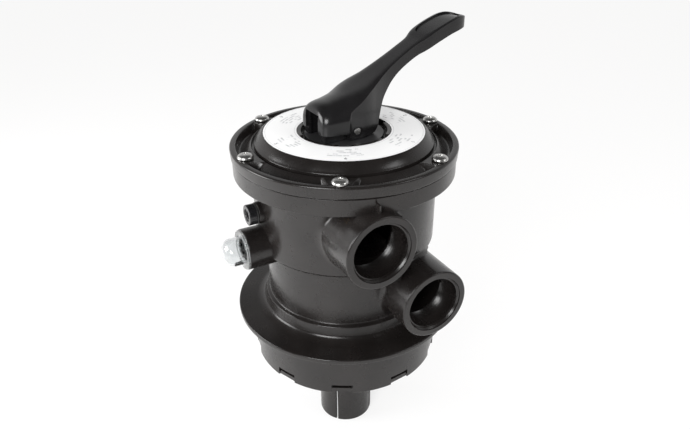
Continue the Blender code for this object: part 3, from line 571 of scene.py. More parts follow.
def ring_of_parts_tree(finish):
    """One part repeated round the valve's axis."""
    tree, source, result, names = node_tree("ring_of_parts", {
        "Part": "NodeSocketObject", "Count": "NodeSocketInt", "Circle radius": "NodeSocketFloat",
        "First angle": "NodeSocketFloat", "Spin": "NodeSocketFloat"})
    make = tree.nodes.new
    circle, spread, info = make("GeometryNodeMeshCircle"), make("GeometryNodeInstanceOnPoints"), make("GeometryNodeObjectInfo")
    turn, first, whirl = make("GeometryNodeTransform"), make("ShaderNodeCombineXYZ"), make("ShaderNodeCombineXYZ")
    index, share = make("GeometryNodeInputIndex"), make("ShaderNodeMath")
    share.operation = "MULTIPLY"
    link = tree.links.new
    link(source.outputs["Count"], circle.inputs["Vertices"])
    link(source.outputs["Circle radius"], circle.inputs["Radius"])
    link(circle.outputs["Mesh"], spread.inputs["Points"])
    link(source.outputs["Part"], info.inputs["Object"])
    link(info.outputs["Geometry"], spread.inputs["Instance"])
    link(index.outputs["Index"], share.inputs[0])
    link(source.outputs["Spin"], share.inputs[1])
    link(share.outputs["Value"], whirl.inputs["Z"])
    link(whirl.outputs["Vector"], spread.inputs["Rotation"])
    link(source.outputs["First angle"], first.inputs["Z"])
    link(spread.outputs["Instances"], turn.inputs["Geometry"])
    link(first.outputs["Vector"], turn.inputs["Rotation"])
    end_tree(tree, turn.outputs["Geometry"], finish, result)
    return tree, names


# ---------------------------------------------------------------- housing

def housing_outline():
    """The housing's outside, solid to the axis."""
    groove_end, groove_floor = NECK_SEAL_LOW.z - 0.3, SKIRT_R - 3.4
    lower_foot = NECK_FLANGE_T + 13.0
    return rounded([
        (0, SKIRT_END_Z), (SKIRT_R, SKIRT_END_Z), (SKIRT_R - 0.4, groove_end),
        (groove_floor, groove_end),
        (groove_floor, 0, 0), (NECK_FLANGE_R, 0, 0.8), (NECK_FLANGE_R, NECK_FLANGE_T, 1.4),
        (LOWER_R + 11.0, NECK_FLANGE_T + 0.9, 3.0), (LOWER_R + 5.2, NECK_FLANGE_T + 3.4, 3.0),
        (LOWER_R + 3.0, lower_foot, 0.5), (LOWER_R, lower_foot + 1.6, 1.0),
        (LOWER_R - 0.4, UPPER_BASE_Z - 0.4, 1.0), (LOWER_R + 1.0, UPPER_BASE_Z, 0.4),
        (UPPER_R - 2.4, UPPER_BASE_Z, 0.6), (UPPER_R, UPPER_BASE_Z + 2.6, 2.0),
        (UPPER_R, FLANGE_BASE_Z, 2.0), (TOP_FLANGE_R, FLANGE_BASE_Z, 1.0),
        (TOP_FLANGE_R, FLANGE_TOP_Z, 0.5), (0, FLANGE_TOP_Z)])


def wall_radius(z):
    """The housing's radius where the ports leave it."""
    if z < UPPER_BASE_Z:
        return LOWER_R + 3.0 * (1 - smoothstep(NECK_FLANGE_T + 13.0, NECK_FLANGE_T + 15.0, z))
    return UPPER_R


def port_root(x, z, way):
    """A fillet where a port's barrel leaves the round wall."""
    sections = []
    for side in range(SIDES_PORT):
        angle = 2 * pi * side / SIDES_PORT
        section = []
        steps = [(ROOT_ROUND * (1 - cos(t)) - 0.06, ROOT_ROUND * (1 - sin(t)) - 0.06)
                 for t in (radians(90) * k / 6 for k in range(7))]
        for out, off in steps + [(-3.0, -3.0)]:
            radius = PORT_R + out
            px, pz = x + radius * cos(angle), z + radius * sin(angle)
            depth = sqrt(max(wall_radius(pz) ** 2 - px ** 2, 1.0))
            section.append(Vector((px, way * (depth + off), min(pz, FLANGE_BASE_Z + 3.0))))
        sections.append(section)
    return loft(sections, close_ends=False)


def port_barrel(x, z, way):
    outline = [(0, POCKET_R - 24.0), (PORT_R, POCKET_R - 24.0, 0), (PORT_R, PORT_REACH, 1.6),
               (0, PORT_REACH)]
    return lathe(rounded(outline), SIDES_PORT, along((0, way, 0), (x, 0, z)), 0.21)


def housing_additions():
    steps = [port_barrel(*port) for port in PORTS]
    steps += [port_root(*port) for port in PORTS]
    steps.append(rod(SIGHT_BOSS_R, (-LOWER_R + 6, 0, SIGHT_Z), (-SIGHT_REACH, 0, SIGHT_Z),
                     SIDES_PORT, 0.5))
    steps.append(rod(PLUG_BOSS_R, (-CHAMBER_R - 2, 0, PLUG_Z), (-PLUG_BOSS_REACH, 0, PLUG_Z),
                     SIDES_SMALL, 0.6))
    (upper_x, upper_z, _), (lower_x, lower_z, _) = PORTS[:2]
    web_x = (upper_x + lower_x) / 2 + 1.0
    steps.append(block((web_x - 1.5, -PORT_REACH + 17.0, lower_z + PORT_R - 8.0),
                       (web_x + 1.5, -LOWER_R + 12.0, upper_z - PORT_R + 4.0)))
    for x, z, way in PORTS:
        steps.append(block((x - 0.35, min(way * 40.0, way * (PORT_REACH - 3)), z + PORT_R - 1.0),
                           (x + 0.35, max(way * 40.0, way * (PORT_REACH - 3)), z + PORT_R + 0.25)))
    steps.append(block((upper_x - 0.7, -TOP_FLANGE_R - 3.0, FLANGE_BASE_Z + 1.5),
                       (upper_x + 0.7, -TOP_FLANGE_R + 4.0, FLANGE_BASE_Z + 11.0)))
    for azimuth in LUG_AZIMUTHS:
        half = LUG_WIDTH / 2
        lug = [(SKIRT_R - 2.5, -half), (SKIRT_R + LUG_REACH - 2, -half),
               (SKIRT_R + LUG_REACH, -half + 2),
               (SKIRT_R + LUG_REACH, half - 2), (SKIRT_R + LUG_REACH - 2, half),
               (SKIRT_R - 2.5, half)]
        steps.append(prism(lug, -17.0, -6.0, turn_to(azimuth)))
    for azimuth in (-62.0, 172.0, 118.0):       # stiffening ribs under the top flange
        steps.append(prism([(UPPER_R - 2, FLANGE_BASE_Z - 9), (UPPER_R - 0.2, FLANGE_BASE_Z - 9),
                            (TOP_FLANGE_R - 5, FLANGE_BASE_Z + 1),
                            (UPPER_R - 2, FLANGE_BASE_Z + 1)],
                           -1.1, 1.1, turn_to(azimuth) @ Matrix.Rotation(radians(90), 4, "X")))
    return [("UNION", shape) for shape in steps]


def housing_cuts():
    cuts = []
    chamber = [(0, SEAT_Z), (CHAMBER_R, SEAT_Z), (CHAMBER_R, FLANGE_TOP_Z + 2),
               (0, FLANGE_TOP_Z + 2)]
    cuts.append(lathe(chamber, SIDES_BODY, phase=0.37))
    neck_top = NECK_FLANGE_T - 2.8
    inner = SKIRT_R - SKIRT_WALL
    skirt = [(0, SKIRT_END_Z - 2), (inner, SKIRT_END_Z - 2), (inner, -11.0), (NECK_BORE_R, -8.0),
             (NECK_BORE_R, neck_top), (SOCKET_R, neck_top), (SOCKET_R, -HUB_DROP), (0, -HUB_DROP)]
    cuts.append(lathe(skirt, SIDES_BODY, phase=0.37))
    grip = TUBE_HIGH.x + 0.3
    bore = [(0, -HUB_DROP - 2), (grip, -HUB_DROP - 2), (grip, TUBE_HIGH.z + 0.3),
            (CENTRE_WINDOW_R, TUBE_HIGH.z + 0.3), (CENTRE_WINDOW_R, SEAT_Z + 2), (0, SEAT_Z + 2)]
    cuts.append(lathe(bore, SIDES_PORT, phase=0.37))
    sectors = bmesh.new()
    for azimuth in around(SECTORS, SECTOR_AZIMUTH):
        floor = SECTOR_FLOOR_Z if azimuth in CLOSED_SECTORS else -2.0
        wedge(azimuth, SECTOR_SPAN, HUB_R, POCKET_R, floor, SEAT_Z + 2, sectors)
    cuts.append(sectors)
    cuts.append(wedge(CLOSED_SECTORS[-1], SECTOR_SPAN / 2, CENTRE_WINDOW_R - 2, HUB_R + 2,
                      TUBE_HIGH.z + 6.0, SEAT_Z - 8.0))
    for x, z, way in PORTS:
        start = (CHAMBER_R - 20.0) if z > SEAT_Z else (POCKET_R - 22.0)
        bore = [(0, start), (PORT_BORE_R, start), (PORT_BORE_R, PORT_REACH - PORT_CHAMFER),
                (PORT_MOUTH_R, PORT_REACH - PORT_CHAMFER * 0.4),
                (PORT_MOUTH_R + 0.4, PORT_REACH + 2), (0, PORT_REACH + 2)]
        cuts.append(lathe(bore, SIDES_PORT, along((0, way, 0), (x, 0, z)), 0.57))
    west = along((-1, 0, 0), (0, 0, SIGHT_Z))
    floor, seat = CHAMBER_R + 2.4, SIGHT_REACH - SIGHT_RECESS
    sight = [(0, floor), (SIGHT_CHAMBER_R, floor), (SIGHT_CHAMBER_R, seat),
             (GLASS_FLANGE_R + 0.3, seat),
             (GLASS_FLANGE_R + 0.3, SIGHT_REACH + 2), (0, SIGHT_REACH + 2)]
    cuts.append(lathe(sight, SIDES_SMALL, west, 0.37))
    cuts.append(rod(PLUG_R + 0.3, (-CHAMBER_R + 4, 0, PLUG_Z), (-PLUG_BOSS_REACH - 2, 0, PLUG_Z),
                    SIDES_SMALL, phase=0.37))
    holes = bmesh.new()
    for azimuth in around(SCREWS, SCREW_AZIMUTH):
        at = place(azimuth, SCREW_CIRCLE_R)
        rod(INSERT_HOLE_R, (at.x, at.y, FLANGE_BASE_Z - 2), (at.x, at.y, FLANGE_TOP_Z + 2), 20,
            into=holes)
    cuts.append(holes)
    notches = bmesh.new()
    for azimuth in around(NOTCHES, NOTCH_AZIMUTH):
        block((inner - 2, -NOTCH_WIDTH / 2, SKIRT_END_Z - 2),
              (SKIRT_R + 2, NOTCH_WIDTH / 2, SKIRT_END_Z + NOTCH_HEIGHT),
              turn_to(azimuth), notches)
    cuts.append(notches)
    return [("DIFFERENCE", shape) for shape in cuts]


def make_housing():
    shape = carve(lathe(housing_outline(), SIDES_BODY), housing_additions() + housing_cuts())
    finish_piece("housing_shell", shape, BLACK, "housing", ["valve_body"], 30)
    tree, names = helix_tree(BLACK)
    threads = bmesh.new()
    length = THREAD_PITCH * THREAD_TURNS
    for x, z, way in PORTS:
        ridge = grow(tree, names,
                     {"Section sides": 4, "Radius": PORT_BORE_R - 0.35,
                      "Top radius": PORT_BORE_R + 0.1, "Turns": THREAD_TURNS,
                                   "Length": length, "Ridge": THREAD_DEPTH})
        ridge.transform(along((0, way, 0),
                              (x, way * (PORT_REACH - PORT_CHAMFER - length - 0.3), z)))
        spare = bpy.data.meshes.new("ridge")
        ridge.to_mesh(spare)
        ridge.free()
        threads.from_mesh(spare)
        bpy.data.meshes.remove(spare)
    finish_piece("port_threads", threads, BLACK, "housing", sharp=60)


# ---------------------------------------------------------------- lid

CHANNEL = [(GROOVE_R + 0.6, RIM_Z - 0.5), (80.6, RIM_Z - 1.1), (83.0, RIM_Z - 3.2),
           (86.0, RIM_Z - 6.0),
           (88.0, RIM_Z - 7.3), (89.4, RIM_Z - 7.6), (90.7, RIM_Z - 7.0), (91.6, RIM_Z - 4.6),
           (92.1, RIM_Z - 1.6), (LID_R - RIM_W, RIM_Z - 0.5)]


def lid_section(azimuth):
    """The lid's section at one azimuth: its channel is filled at the six screw pads."""
    off = min((abs((azimuth - screw + 180) % 360 - 180) for screw in around(SCREWS,
        SCREW_AZIMUTH)))
    detent = min((abs((azimuth - mark + 180) % 360 - 180) for mark in around(SCREWS,
        DETENT_AZIMUTH)))
    under = LABEL_Z - 4.6
    outer = [(STEM_BORE_R, BOSS_END_Z), (20.0, BOSS_END_Z), (21.0, WELL_Z - 4.0),
             (WELL_R + 4, WELL_Z - 4.0),
             (WELL_R + 6, under - 1.0), (LABEL_R - 6, under - 1.0),
             (SPIGOT_R - 4, LID_BASE_Z + 4.0),
             (SPIGOT_R - 4, LID_BASE_Z - SPIGOT_DEPTH), (SPIGOT_R, LID_BASE_Z - SPIGOT_DEPTH),
             (SPIGOT_R, LID_BASE_Z), (LID_R - 1.5, LID_BASE_Z), (LID_R - 0.9, LID_BASE_Z + 0.4),
             (LID_R - 0.6, LID_BASE_Z + 1.2), (LID_R - 0.1, RIM_Z - 2.0),
             (LID_R - 0.2, RIM_Z - 1.0),
             (LID_R - 0.7, RIM_Z - 0.3), (LID_R - 1.4, RIM_Z), (LID_R - 3.4, RIM_Z), (93.4, RIM_Z),
             (92.9, RIM_Z - 0.15)]
    middle = []
    steps = 22
    for step in range(steps + 1):
        radius = (LID_R - RIM_W) - (LID_R - RIM_W - GROOVE_R - 0.6) * step / steps
        half = 9.0 + 6.0 * (LID_R - RIM_W - radius) / (LID_R - RIM_W - GROOVE_R)
        across = radius * sin(radians(min(off, 60.0)))
        pad = 1 - smoothstep(half - 0.7, half + 1.5, across)
        floor = curve_through(CHANNEL, radius)
        height = floor + (RIM_Z - 0.35 - floor) * pad
        rib = exp(-((across - half + 0.9) / 0.6) ** 2) * smoothstep(80.4, 82.0, radius)
        middle.append((radius, height + 0.3 * rib))
    edge = 1 - smoothstep(DETENT_WIDTH / 2 - 0.2, DETENT_WIDTH / 2 + 0.2,
                          LABEL_HOLE_R * sin(radians(min(detent, 60.0))))
    lip = LABEL_Z - DETENT_DEPTH * edge
    seat = LABEL_Z - 0.9
    inner = [(GROOVE_R + 0.2, RIM_Z - 0.8), (GROOVE_R, RIM_Z - 1.4), (GROOVE_R - 0.1, RIM_Z - 3.0),
             (DOME_R + 0.1, RIM_Z - 3.0), (DOME_R, DOME_EDGE_Z - 0.8),
             (DOME_R - 0.25, DOME_EDGE_Z - 0.25),
             (DOME_R - 0.8, DOME_EDGE_Z + 0.1)]
    for step in range(1, 7):
        share = step / 7
        inner.append((DOME_R - 0.8 + (LABEL_R + 0.9 - DOME_R + 0.8) * share,
                      DOME_EDGE_Z + 0.1 + (LABEL_Z - 0.3 - DOME_EDGE_Z) * share + 0.5 * sin(pi * share)))
    inner += [(LABEL_R + 0.6, LABEL_Z - 0.02), (LABEL_R + 0.1, LABEL_Z), (LABEL_R, seat),
              (LABEL_HOLE_R - 0.3, seat if edge < 0.2 else lip),
              (LABEL_HOLE_R - 0.35, lip), (LABEL_HOLE_R - 0.8, lip), (WELL_R + 0.5, lip),
              (WELL_R + 0.1, lip - 0.3),
              (WELL_R, lip - 0.9), (WELL_R - 0.1, WELL_Z + 0.3), (WELL_R - 0.5, WELL_Z),
              (STEM_BORE_R, WELL_Z)]
    return outer + middle + inner


def make_lid():
    sections = []
    for side in range(LID_SIDES):
        azimuth = 360.0 * side / LID_SIDES
        sections.append([place(azimuth, radius, z) for radius, z in lid_section(azimuth)])
    finish_piece("lid_cover", loft(sections, close_ends=False), BLACK, "housing", ["lid"],
                 38)
    label = rounded([(LABEL_HOLE_R, LABEL_LOW.z), (LABEL_R - 0.3, LABEL_LOW.z),
                     (LABEL_R - 0.3, LABEL_HIGH.z), (LABEL_HOLE_R, LABEL_HIGH.z)], 0.15)
    finish_piece("dial_film", lathe(label, SIDES_BODY), LABEL, "housing", ["dial_label"])
    washer = rounded([(STEM_BORE_R + 0.1, WASHER_LOW.z), (WASHER_HIGH.x, WASHER_LOW.z),
                      (WASHER_HIGH.x, WASHER_HIGH.z), (STEM_BORE_R + 0.1, WASHER_HIGH.z)], 0.4)
    finish_piece("turning_washer", lathe(washer, SIDES_BODY), WASHER_BLACK, "dial_group",
                 ["thrust_washer"])


def make_numerals():
    """A plain number in each of the dial's six fields."""
    shape = bmesh.new()
    for number, azimuth in enumerate(around(SCREWS, DETENT_AZIMUTH), 1):
        curve = bpy.data.curves.new("numeral", "FONT")
        curve.body, curve.size, curve.extrude = str(number), NUMERAL_SIZE, 0.03
        curve.align_x, curve.align_y = "CENTER", "CENTER"
        text = bpy.data.objects.new("numeral", curve)
        bpy.context.scene.collection.objects.link(text)
        mesh = evaluated_mesh(text)
        mesh.transform(Matrix.Translation(place(azimuth, NUMERAL_CIRCLE_R,
            LABEL_HIGH.z + 0.04)) @ Matrix.Rotation(radians(azimuth), 4, "Z"))
        shape.from_mesh(mesh)
        bpy.data.objects.remove(text)
        bpy.data.meshes.remove(mesh)
    bmesh.ops.remove_doubles(shape, verts=shape.verts, dist=0.001)
    finish_piece("dial_numerals", shape, NUMERAL, "housing", sharp=40)


def screw_section(angle):
    """A pan head with a cross recess, at one angle about the screw's axis."""
    radius, height = (SCREW_HIGH.x - SCREW_LOW.x) / 2, SCREW_HEAD_T
    low = SCREW_HIGH.z - height
    arm = abs((angle + 45) % 90 - 45)
    points = [(0.01, low - 18.0), (2.4, low - 18.0), (2.5, low - 17.0), (2.5, low),
              (radius - 0.1, low), (radius, low + 0.4)]
    for step in range(1, 9):
        share = step / 8
        points.append((radius * cos(radians(70 * share)),
                       low + 0.4 + (height - 0.5) * sin(radians(90 * share))))
    for out in (2.2, 2.0, 1.7, 1.4, 1.0, 0.6, 0.01):
        across = out * sin(radians(arm))
        cut = 1 - smoothstep(0.42, 0.6, across)
        points.append((out, low + height - 0.1 - cut * 1.9 * (1 - smoothstep(1.75, 2.1, out))))
    return points


def make_screws():
    sections = []
    for side in range(SCREW_SIDES):
        angle = 360.0 * side / SCREW_SIDES
        sections.append([Vector((r * cos(radians(angle)), r * sin(radians(angle)), z)) for r,
                         z in screw_section(angle)])
    shape = loft(sections, close_ends=False)
    bmesh.ops.remove_doubles(shape, verts=shape.verts, dist=0.004)
    part = loose_object(shape, "screw_blank")
    tree, names = ring_of_parts_tree(STEEL)
    screws = grow(tree, names, {"Part": part, "Count": SCREWS, "Circle radius": SCREW_CIRCLE_R,
                                "First angle": radians(SCREW_AZIMUTH - 90), "Spin": 0.7})
    bpy.data.objects.remove(part)
    nodes = [f"lid_screw_{number}" for number in range(1, SCREWS + 1)]
    finish_piece("lid_screws", screws, STEEL, "housing", nodes, 35)


# ---------------------------------------------------------------- lever

LEVER_TOP = [(-31.0, 13.0), (-30.4, 16.4), (-29.0, 19.4), (-26.0, 21.6), (-22.0, 22.8),
             (-15.0, 23.9), (-8.0, 25.4), (0.0, 27.6),
             (8.0, 30.8), (18.0, 35.2), (28.0, 40.2), (39.0, 46.4), (50.0, 52.4), (60.0, 57.8),
             (71.0, 63.6),
             (76.0, 67.0), (81.0, 69.8), (88.0, 73.0), (97.0, 76.4), (104.0, 78.6), (110.0, 79.7),
             (115.0, 79.3), (118.4, 77.7), (120.8, 75.0), (121.9, 72.8)]
LEVER_UNDER = [(-31.0, LEVER_BASE), (19.0, LEVER_BASE), (21.5, -5.0), (24.0, -2.0), (26.0, 6.0),
               (30.0, 18.5),
               (36.0, 27.0), (43.0, 34.5), (50.0, 40.0), (60.0, 46.0), (71.0, 51.6), (81.0, 56.4),
               (90.0, 60.2),
               (100.0, 64.0), (110.0, 66.6), (118.0, 68.6), (120.8, 70.2), (121.9, 71.8)]
LEVER_ROUND = [(-31.0, 14.6), (-30.4, 16.8), (-29.0, 18.6), (-26.5, 20.4), (-23.0, 21.8),
               (-15.0, 23.4), (-6.0, 25.4), (6.0, 25.5),
               (14.0, 23.4), (22.0, 19.6), (32.0, 15.4), (42.0, 13.0), (54.0, 11.8), (68.0, 12.0),
               (74.0, 14.6),
               (80.0, 15.8), (103.0, 15.8), (111.0, 14.4), (117.0, 11.4), (120.6, 7.0),
               (121.9, 3.0)]
LEVER_FLAT = [(-40.0, 30.0), (-9.0, 24.6), (-6.4, 22.9), (6.0, 22.4), (14.0, 20.2), (22.0, 16.8),
              (32.0, 13.3),
              (42.0, 11.2), (54.0, 10.2), (68.0, 10.4), (73.0, 12.6), (78.0, 14.2), (103.0, 14.2),
              (111.0, 12.7),
              (117.0, 9.3), (120.6, 4.9), (122.0, 0.8)]
LEVER_REACH = 121.9
PADDLE_START, PADDLE_END = 76.0, 117.0


def lever_section(x):
    """The lever's rounded section at one reach: domed above, boxy below."""
    top, under, half = (curve_through(knots, x) for knots in (LEVER_TOP, LEVER_UNDER, LEVER_ROUND))
    middle, rise = (top + under) / 2, (top - under) / 2
    dome = 2.3 + 4.2 * smoothstep(-8.0, 26.0, x)
    foot = 9.0 - 5.5 * smoothstep(20.0, 40.0, x)
    points = []
    for step in range(72):
        angle = 2 * pi * step / 72
        power = dome if sin(angle) >= 0 else foot
        length = (abs(cos(angle)) ** power + abs(sin(angle)) ** power) ** (-1 / power)
        points.append(Vector((x, half * length * cos(angle), middle + rise * length * sin(angle))))
    return points


def lever_stations():
    stations, x = [], -31.0
    while x < LEVER_REACH:
        stations.append(x)
        x += 0.6 if x < -26 or 18 < x < 34 or x > 113 else 1.6
    return stations + [LEVER_REACH]


def paddle_recess():
    """The shallow pocket in the paddle's top."""
    sections = []
    steps = 36
    for step in range(steps + 1):
        x = PADDLE_START + (PADDLE_END - PADDLE_START) * step / steps
        half = curve_through(LEVER_FLAT, x + 2.0) - 2.6
        ends = sqrt(max(0.0, 1 - abs(2 * step / steps - 1) ** 5))
        half = max(0.6, half * (0.35 + 0.65 * ends))
        floor = curve_through(LEVER_TOP, x) - 1.5
        sections.append([Vector((x, -half, floor)), Vector((x, half, floor)),
                         Vector((x, half, floor + 20)), Vector((x, -half, floor + 20))])
    return loft(sections)


def make_lever():
    """Made about the pin, then lifted to it and turned."""
    plan = [(x, curve_through(LEVER_FLAT, x)) for x in [-40, -12, -9, -7.6,
        -6.8] + [-6 + 3.0 * k for k in range(40)] +
            [113, 115, 117, 118.6, 119.8, 120.8, 121.5, 122]]
    outline = plan + [(x, -y) for x, y in reversed(plan)]
    steps = [("INTERSECT", prism(outline, -30.0, 100.0))]
    steps.append(("DIFFERENCE", block((-40.0, -10.5, -12.0), (16.0, 10.5, 15.6))))
    foot = bmesh.new()
    for side in (-1, 1):
        low, high = sorted((side * 18.0, side * 34.0))
        block((-44.0, low, -12.0), (-8.0, high, 0.2), into=foot)
    steps.append(("DIFFERENCE", foot))
    steps.append(("DIFFERENCE", block((-44.0, -34.0, -12.3), (-28.4, 34.0, 0.2))))
    steps.append(("DIFFERENCE", rod(PIN_R + 0.3, (0, -40, 0), (0, 40, 0), SIDES_SMALL)))
    recess = bmesh.new()
    for side in (-1, 1):
        rod(PIN_R + 1.5, (0, side * 21.6, 0), (0, side * 30.0, 0), SIDES_SMALL, into=recess)
    steps.append(("DIFFERENCE", recess))
    steps.append(("DIFFERENCE", paddle_recess()))
    ribs = bmesh.new()
    for side in (-1, 1):
        low, high = sorted((side * 9.4, side * 11.2))
        block((-27.6, low, LEVER_BASE + 0.2), (-26.0, high, 15.0), into=ribs)
    steps.append(("UNION", ribs))
    shape = carve(loft([lever_section(x) for x in lever_stations()]), steps)
    shape.transform(Matrix.Translation((0, 0, PIN_Z)) @ turn_to(LEVER_AZIMUTH))
    finish_piece("lever_arm", shape, LEVER_BLACK, "lever", ["handle"], 26)
    pin = rounded([(0, -PIN_HALF), (PIN_R, -PIN_HALF, 0.5), (PIN_R, PIN_HALF, 0.5), (0, PIN_HALF)])
    across = place(LEVER_AZIMUTH - 90, 1.0)
    finish_piece("lever_pin", lathe(pin, SIDES_SMALL, along(across, (0, 0, PIN_Z))), STEEL,
                 "diverter",
                 ["handle_pin"])


# ---------------------------------------------------------------- fittings

def make_sight_glass():
    west = along((-1, 0, 0), (0, 0, SIGHT_Z))
    seat = SIGHT_REACH - SIGHT_RECESS
    glass = seat + 2.0
    top, reach = glass + GLASS_FLANGE_T, -GLASS_LOW.x
    shoulder = reach - DOME_GLASS_R * 0.72
    outer = [(DOME_GLASS_R * cos(radians(a)),
              shoulder + (reach - shoulder) * sin(radians(a))) for a in range(0, 90, 9)]
    inside = DOME_GLASS_R - DOME_WALL
    inner = [(inside * cos(radians(a)),
              shoulder + (reach - DOME_WALL - shoulder) * sin(radians(a))) for a in range(81, -1,
                  -9)]
    dome = [(GLASS_FLANGE_R, glass), (GLASS_FLANGE_R, top), (DOME_GLASS_R, top)] + outer
    dome += [(0, reach), (0, reach - DOME_WALL)] + inner + [(inside, glass)]
    finish_piece("sight_dome", lathe(dome, SIDES_PORT, west), CLEAR, "housing", ["sight_glass"])
    low = SIGHT_REACH + 0.3
    ring = rounded([(DOME_GLASS_R + 0.3, top + 0.3), (GLASS_FLANGE_R, top + 0.3),
                    (GLASS_FLANGE_R, low),
                    (SIGHT_BOSS_R - 0.4, low), (SIGHT_BOSS_R - 0.5, low + 1.5),
                    (DOME_GLASS_R + 0.3, low + 1.5)], 0.4)
    finish_piece("sight_ring", lathe(ring, SIDES_PORT, west), FROSTED, "housing",
                 ["sight_retainer"])
    gasket = rounded([(SIGHT_CHAMBER_R, seat + 0.3), (GLASS_FLANGE_R, seat + 0.3),
                      (GLASS_FLANGE_R, seat + 1.7),
                      (SIGHT_CHAMBER_R, seat + 1.7)], 0.3)
    finish_piece("sight_seal", lathe(gasket, SIDES_PORT, west), RUBBER, "housing",
                 ["sight_gasket"])


def make_gauge_plug():
    west = along((-1, 0, 0), (0, 0, PLUG_Z))
    seal_low = PLUG_BOSS_REACH + 0.3
    head = seal_low + 1.5
    top = -PLUG_LOW.x
    outline = rounded([(0, CHAMBER_R + 1.0), (PLUG_R, CHAMBER_R + 1.0, 1.2), (PLUG_R, head, 0),
                       (9.0, head, 0.3),
                       (9.0, top, 0.8), (5.6, top, 0.5), (5.2, top - 1.0, 0.3),
                       (3.6, top - 1.0, 0.3), (3.6, top - 3.6, 0), (0, top - 3.6)])
    shape = lathe(outline, SIDES_SMALL, west)
    slots = bmesh.new()
    for k in range(12):
        block((8.6, -0.5, head + 0.8), (10.0, 0.5, top - 1.0),
              west @ Matrix.Rotation(radians(30 * k), 4, "Z"), slots)
    finish_piece("gauge_port_plug", carve(shape, [("DIFFERENCE", slots)]), FITTING_BLACK,
                 "housing", ["gauge_plug"])
    ring = rounded([(PLUG_R + 0.3, seal_low), (9.0, seal_low), (9.0, seal_low + 1.2),
                    (PLUG_R + 0.3, seal_low + 1.2)], 0.4)
    finish_piece("gauge_port_seal", lathe(ring, SIDES_SMALL, west), RUBBER, "housing",
                 ["plug_seal"])


def make_collar():
    outer, inner = TUBE_HIGH.x, TUBE_HIGH.x - 2.5
    outline = rounded([(inner, TUBE_LOW.z), (outer, TUBE_LOW.z), (outer, TUBE_HIGH.z - 8, 2.0),
                       (outer - 1.2, TUBE_HIGH.z), (inner, TUBE_HIGH.z)], 0.5)
    slots = bmesh.new()
    for azimuth in around(4, -47.5):
        block((inner - 2, -0.95, TUBE_LOW.z - 2), (outer + 2, 0.95, TUBE_LOW.z + 62.0),
              turn_to(azimuth), slots)
        at = place(azimuth, 1.0)
        rod(1.7, at * (inner - 2) + Vector((0, 0, TUBE_LOW.z + 62.0)),
            at * (outer + 2) + Vector((0, 0, TUBE_LOW.z + 62.0)),
            20, into=slots)
    shape = carve(lathe(outline, SIDES_PORT), [("DIFFERENCE", slots)])
    finish_piece("slotted_collar", shape, BLACK, "housing", ["standpipe_collar"])


def make_diffuser():
    outer, low, high = SKIRT_R - SKIRT_WALL - 0.3, RING_LOW.z, RING_HIGH.z
    outline = rounded([(outer - 10, low), (outer, low), (outer, high), (outer - 8, high),
                       (outer - 10, high - 2)], 0.4)
    tabs = bmesh.new()
    for azimuth in around(NOTCHES, NOTCH_AZIMUTH):
        block((outer - 2, -NOTCH_WIDTH / 2 + 1, low + 0.2),
              (SKIRT_R - 1.6, NOTCH_WIDTH / 2 - 1, high - 0.2),
              turn_to(azimuth), tabs)
    shape = carve(lathe(outline, SIDES_BODY), [("UNION", tabs)])
    finish_piece("snap_ring", shape, BLACK, "housing", ["diffuser_ring"])


def make_neck_seal():
    middle = (NECK_SEAL_LOW.z + NECK_SEAL_HIGH.z) / 2
    section = (NECK_SEAL_HIGH.z - NECK_SEAL_LOW.z) / 2
    radius = NECK_SEAL_HIGH.x - section
    outline = [(radius + section * cos(2 * pi * k / 16),
                middle + section * sin(2 * pi * k / 16)) for k in range(16)]
    finish_piece("neck_seal", lathe(outline, SIDES_BODY), RUBBER, "housing", ["neck_oring"])


def make_spring():
    """The return spring, made at one fixed length; in the valve it shortens as the lever lifts the diverter."""
    low, high = node_box("return_spring")
    wire = SPRING_WIRE_R
    tree, names = helix_tree(STEEL)
    radius = high.x - wire
    coil = grow(tree, names,
                {"Section sides": 12, "Radius": radius, "Top radius": radius,
                 "Turns": SPRING_TURNS,
                              "Length": high.z - low.z - 2 * wire, "Ridge": wire})
    coil.transform(Matrix.Translation((0, 0, low.z + wire)))
    made = finish_piece("lifting_spring", coil, STEEL, "dial_group", ["return_spring"],
                        40)
    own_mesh(made)


def paint_inner_nodes():
    """The pieces that show as the CAD made them."""
    finishes = {"diverter_rotor": BLACK, "spring_washer": STEEL}
    for name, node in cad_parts.items():
        finish = finishes.get(name, BRASS if "insert" in name else RUBBER)
        node.data.materials.clear()
        node.data.materials.append(finish)


# ---------------------------------------------------------------- stage, light and camera

def ray_share(tree, *kinds):
    """1 for rays of these kinds, and 0 for the others."""
    path = tree.nodes.new("ShaderNodeLightPath")
    share = path.outputs[kinds[0]]
    for kind in kinds[1:]:
        either = tree.nodes.new("ShaderNodeMath")
        either.operation = "MAXIMUM"
        tree.links.new(share, either.inputs[0])
        tree.links.new(path.outputs[kind], either.inputs[1])
        share = either.outputs[0]
    return share


def mix_shaders(tree, share, first, second):
    mix = tree.nodes.new("ShaderNodeMixShader")
    for socket, value in zip(mix.inputs, (share, first, second)):
        if isinstance(value, float):
            socket.default_value = value
        else:
            tree.links.new(value, socket)
    return mix.outputs[0]


def ramp(tree, value, low, high, to_low, to_high):
    level = tree.nodes.new("ShaderNodeMapRange")
    level.interpolation_type = "SMOOTHSTEP"
    for key, number in zip(("From Min", "From Max", "To Min", "To Max"),
                           (low, high, to_low, to_high)):
        level.inputs[key].default_value = number
    tree.links.new(value, level.inputs["Value"])
    return level.outputs["Result"]


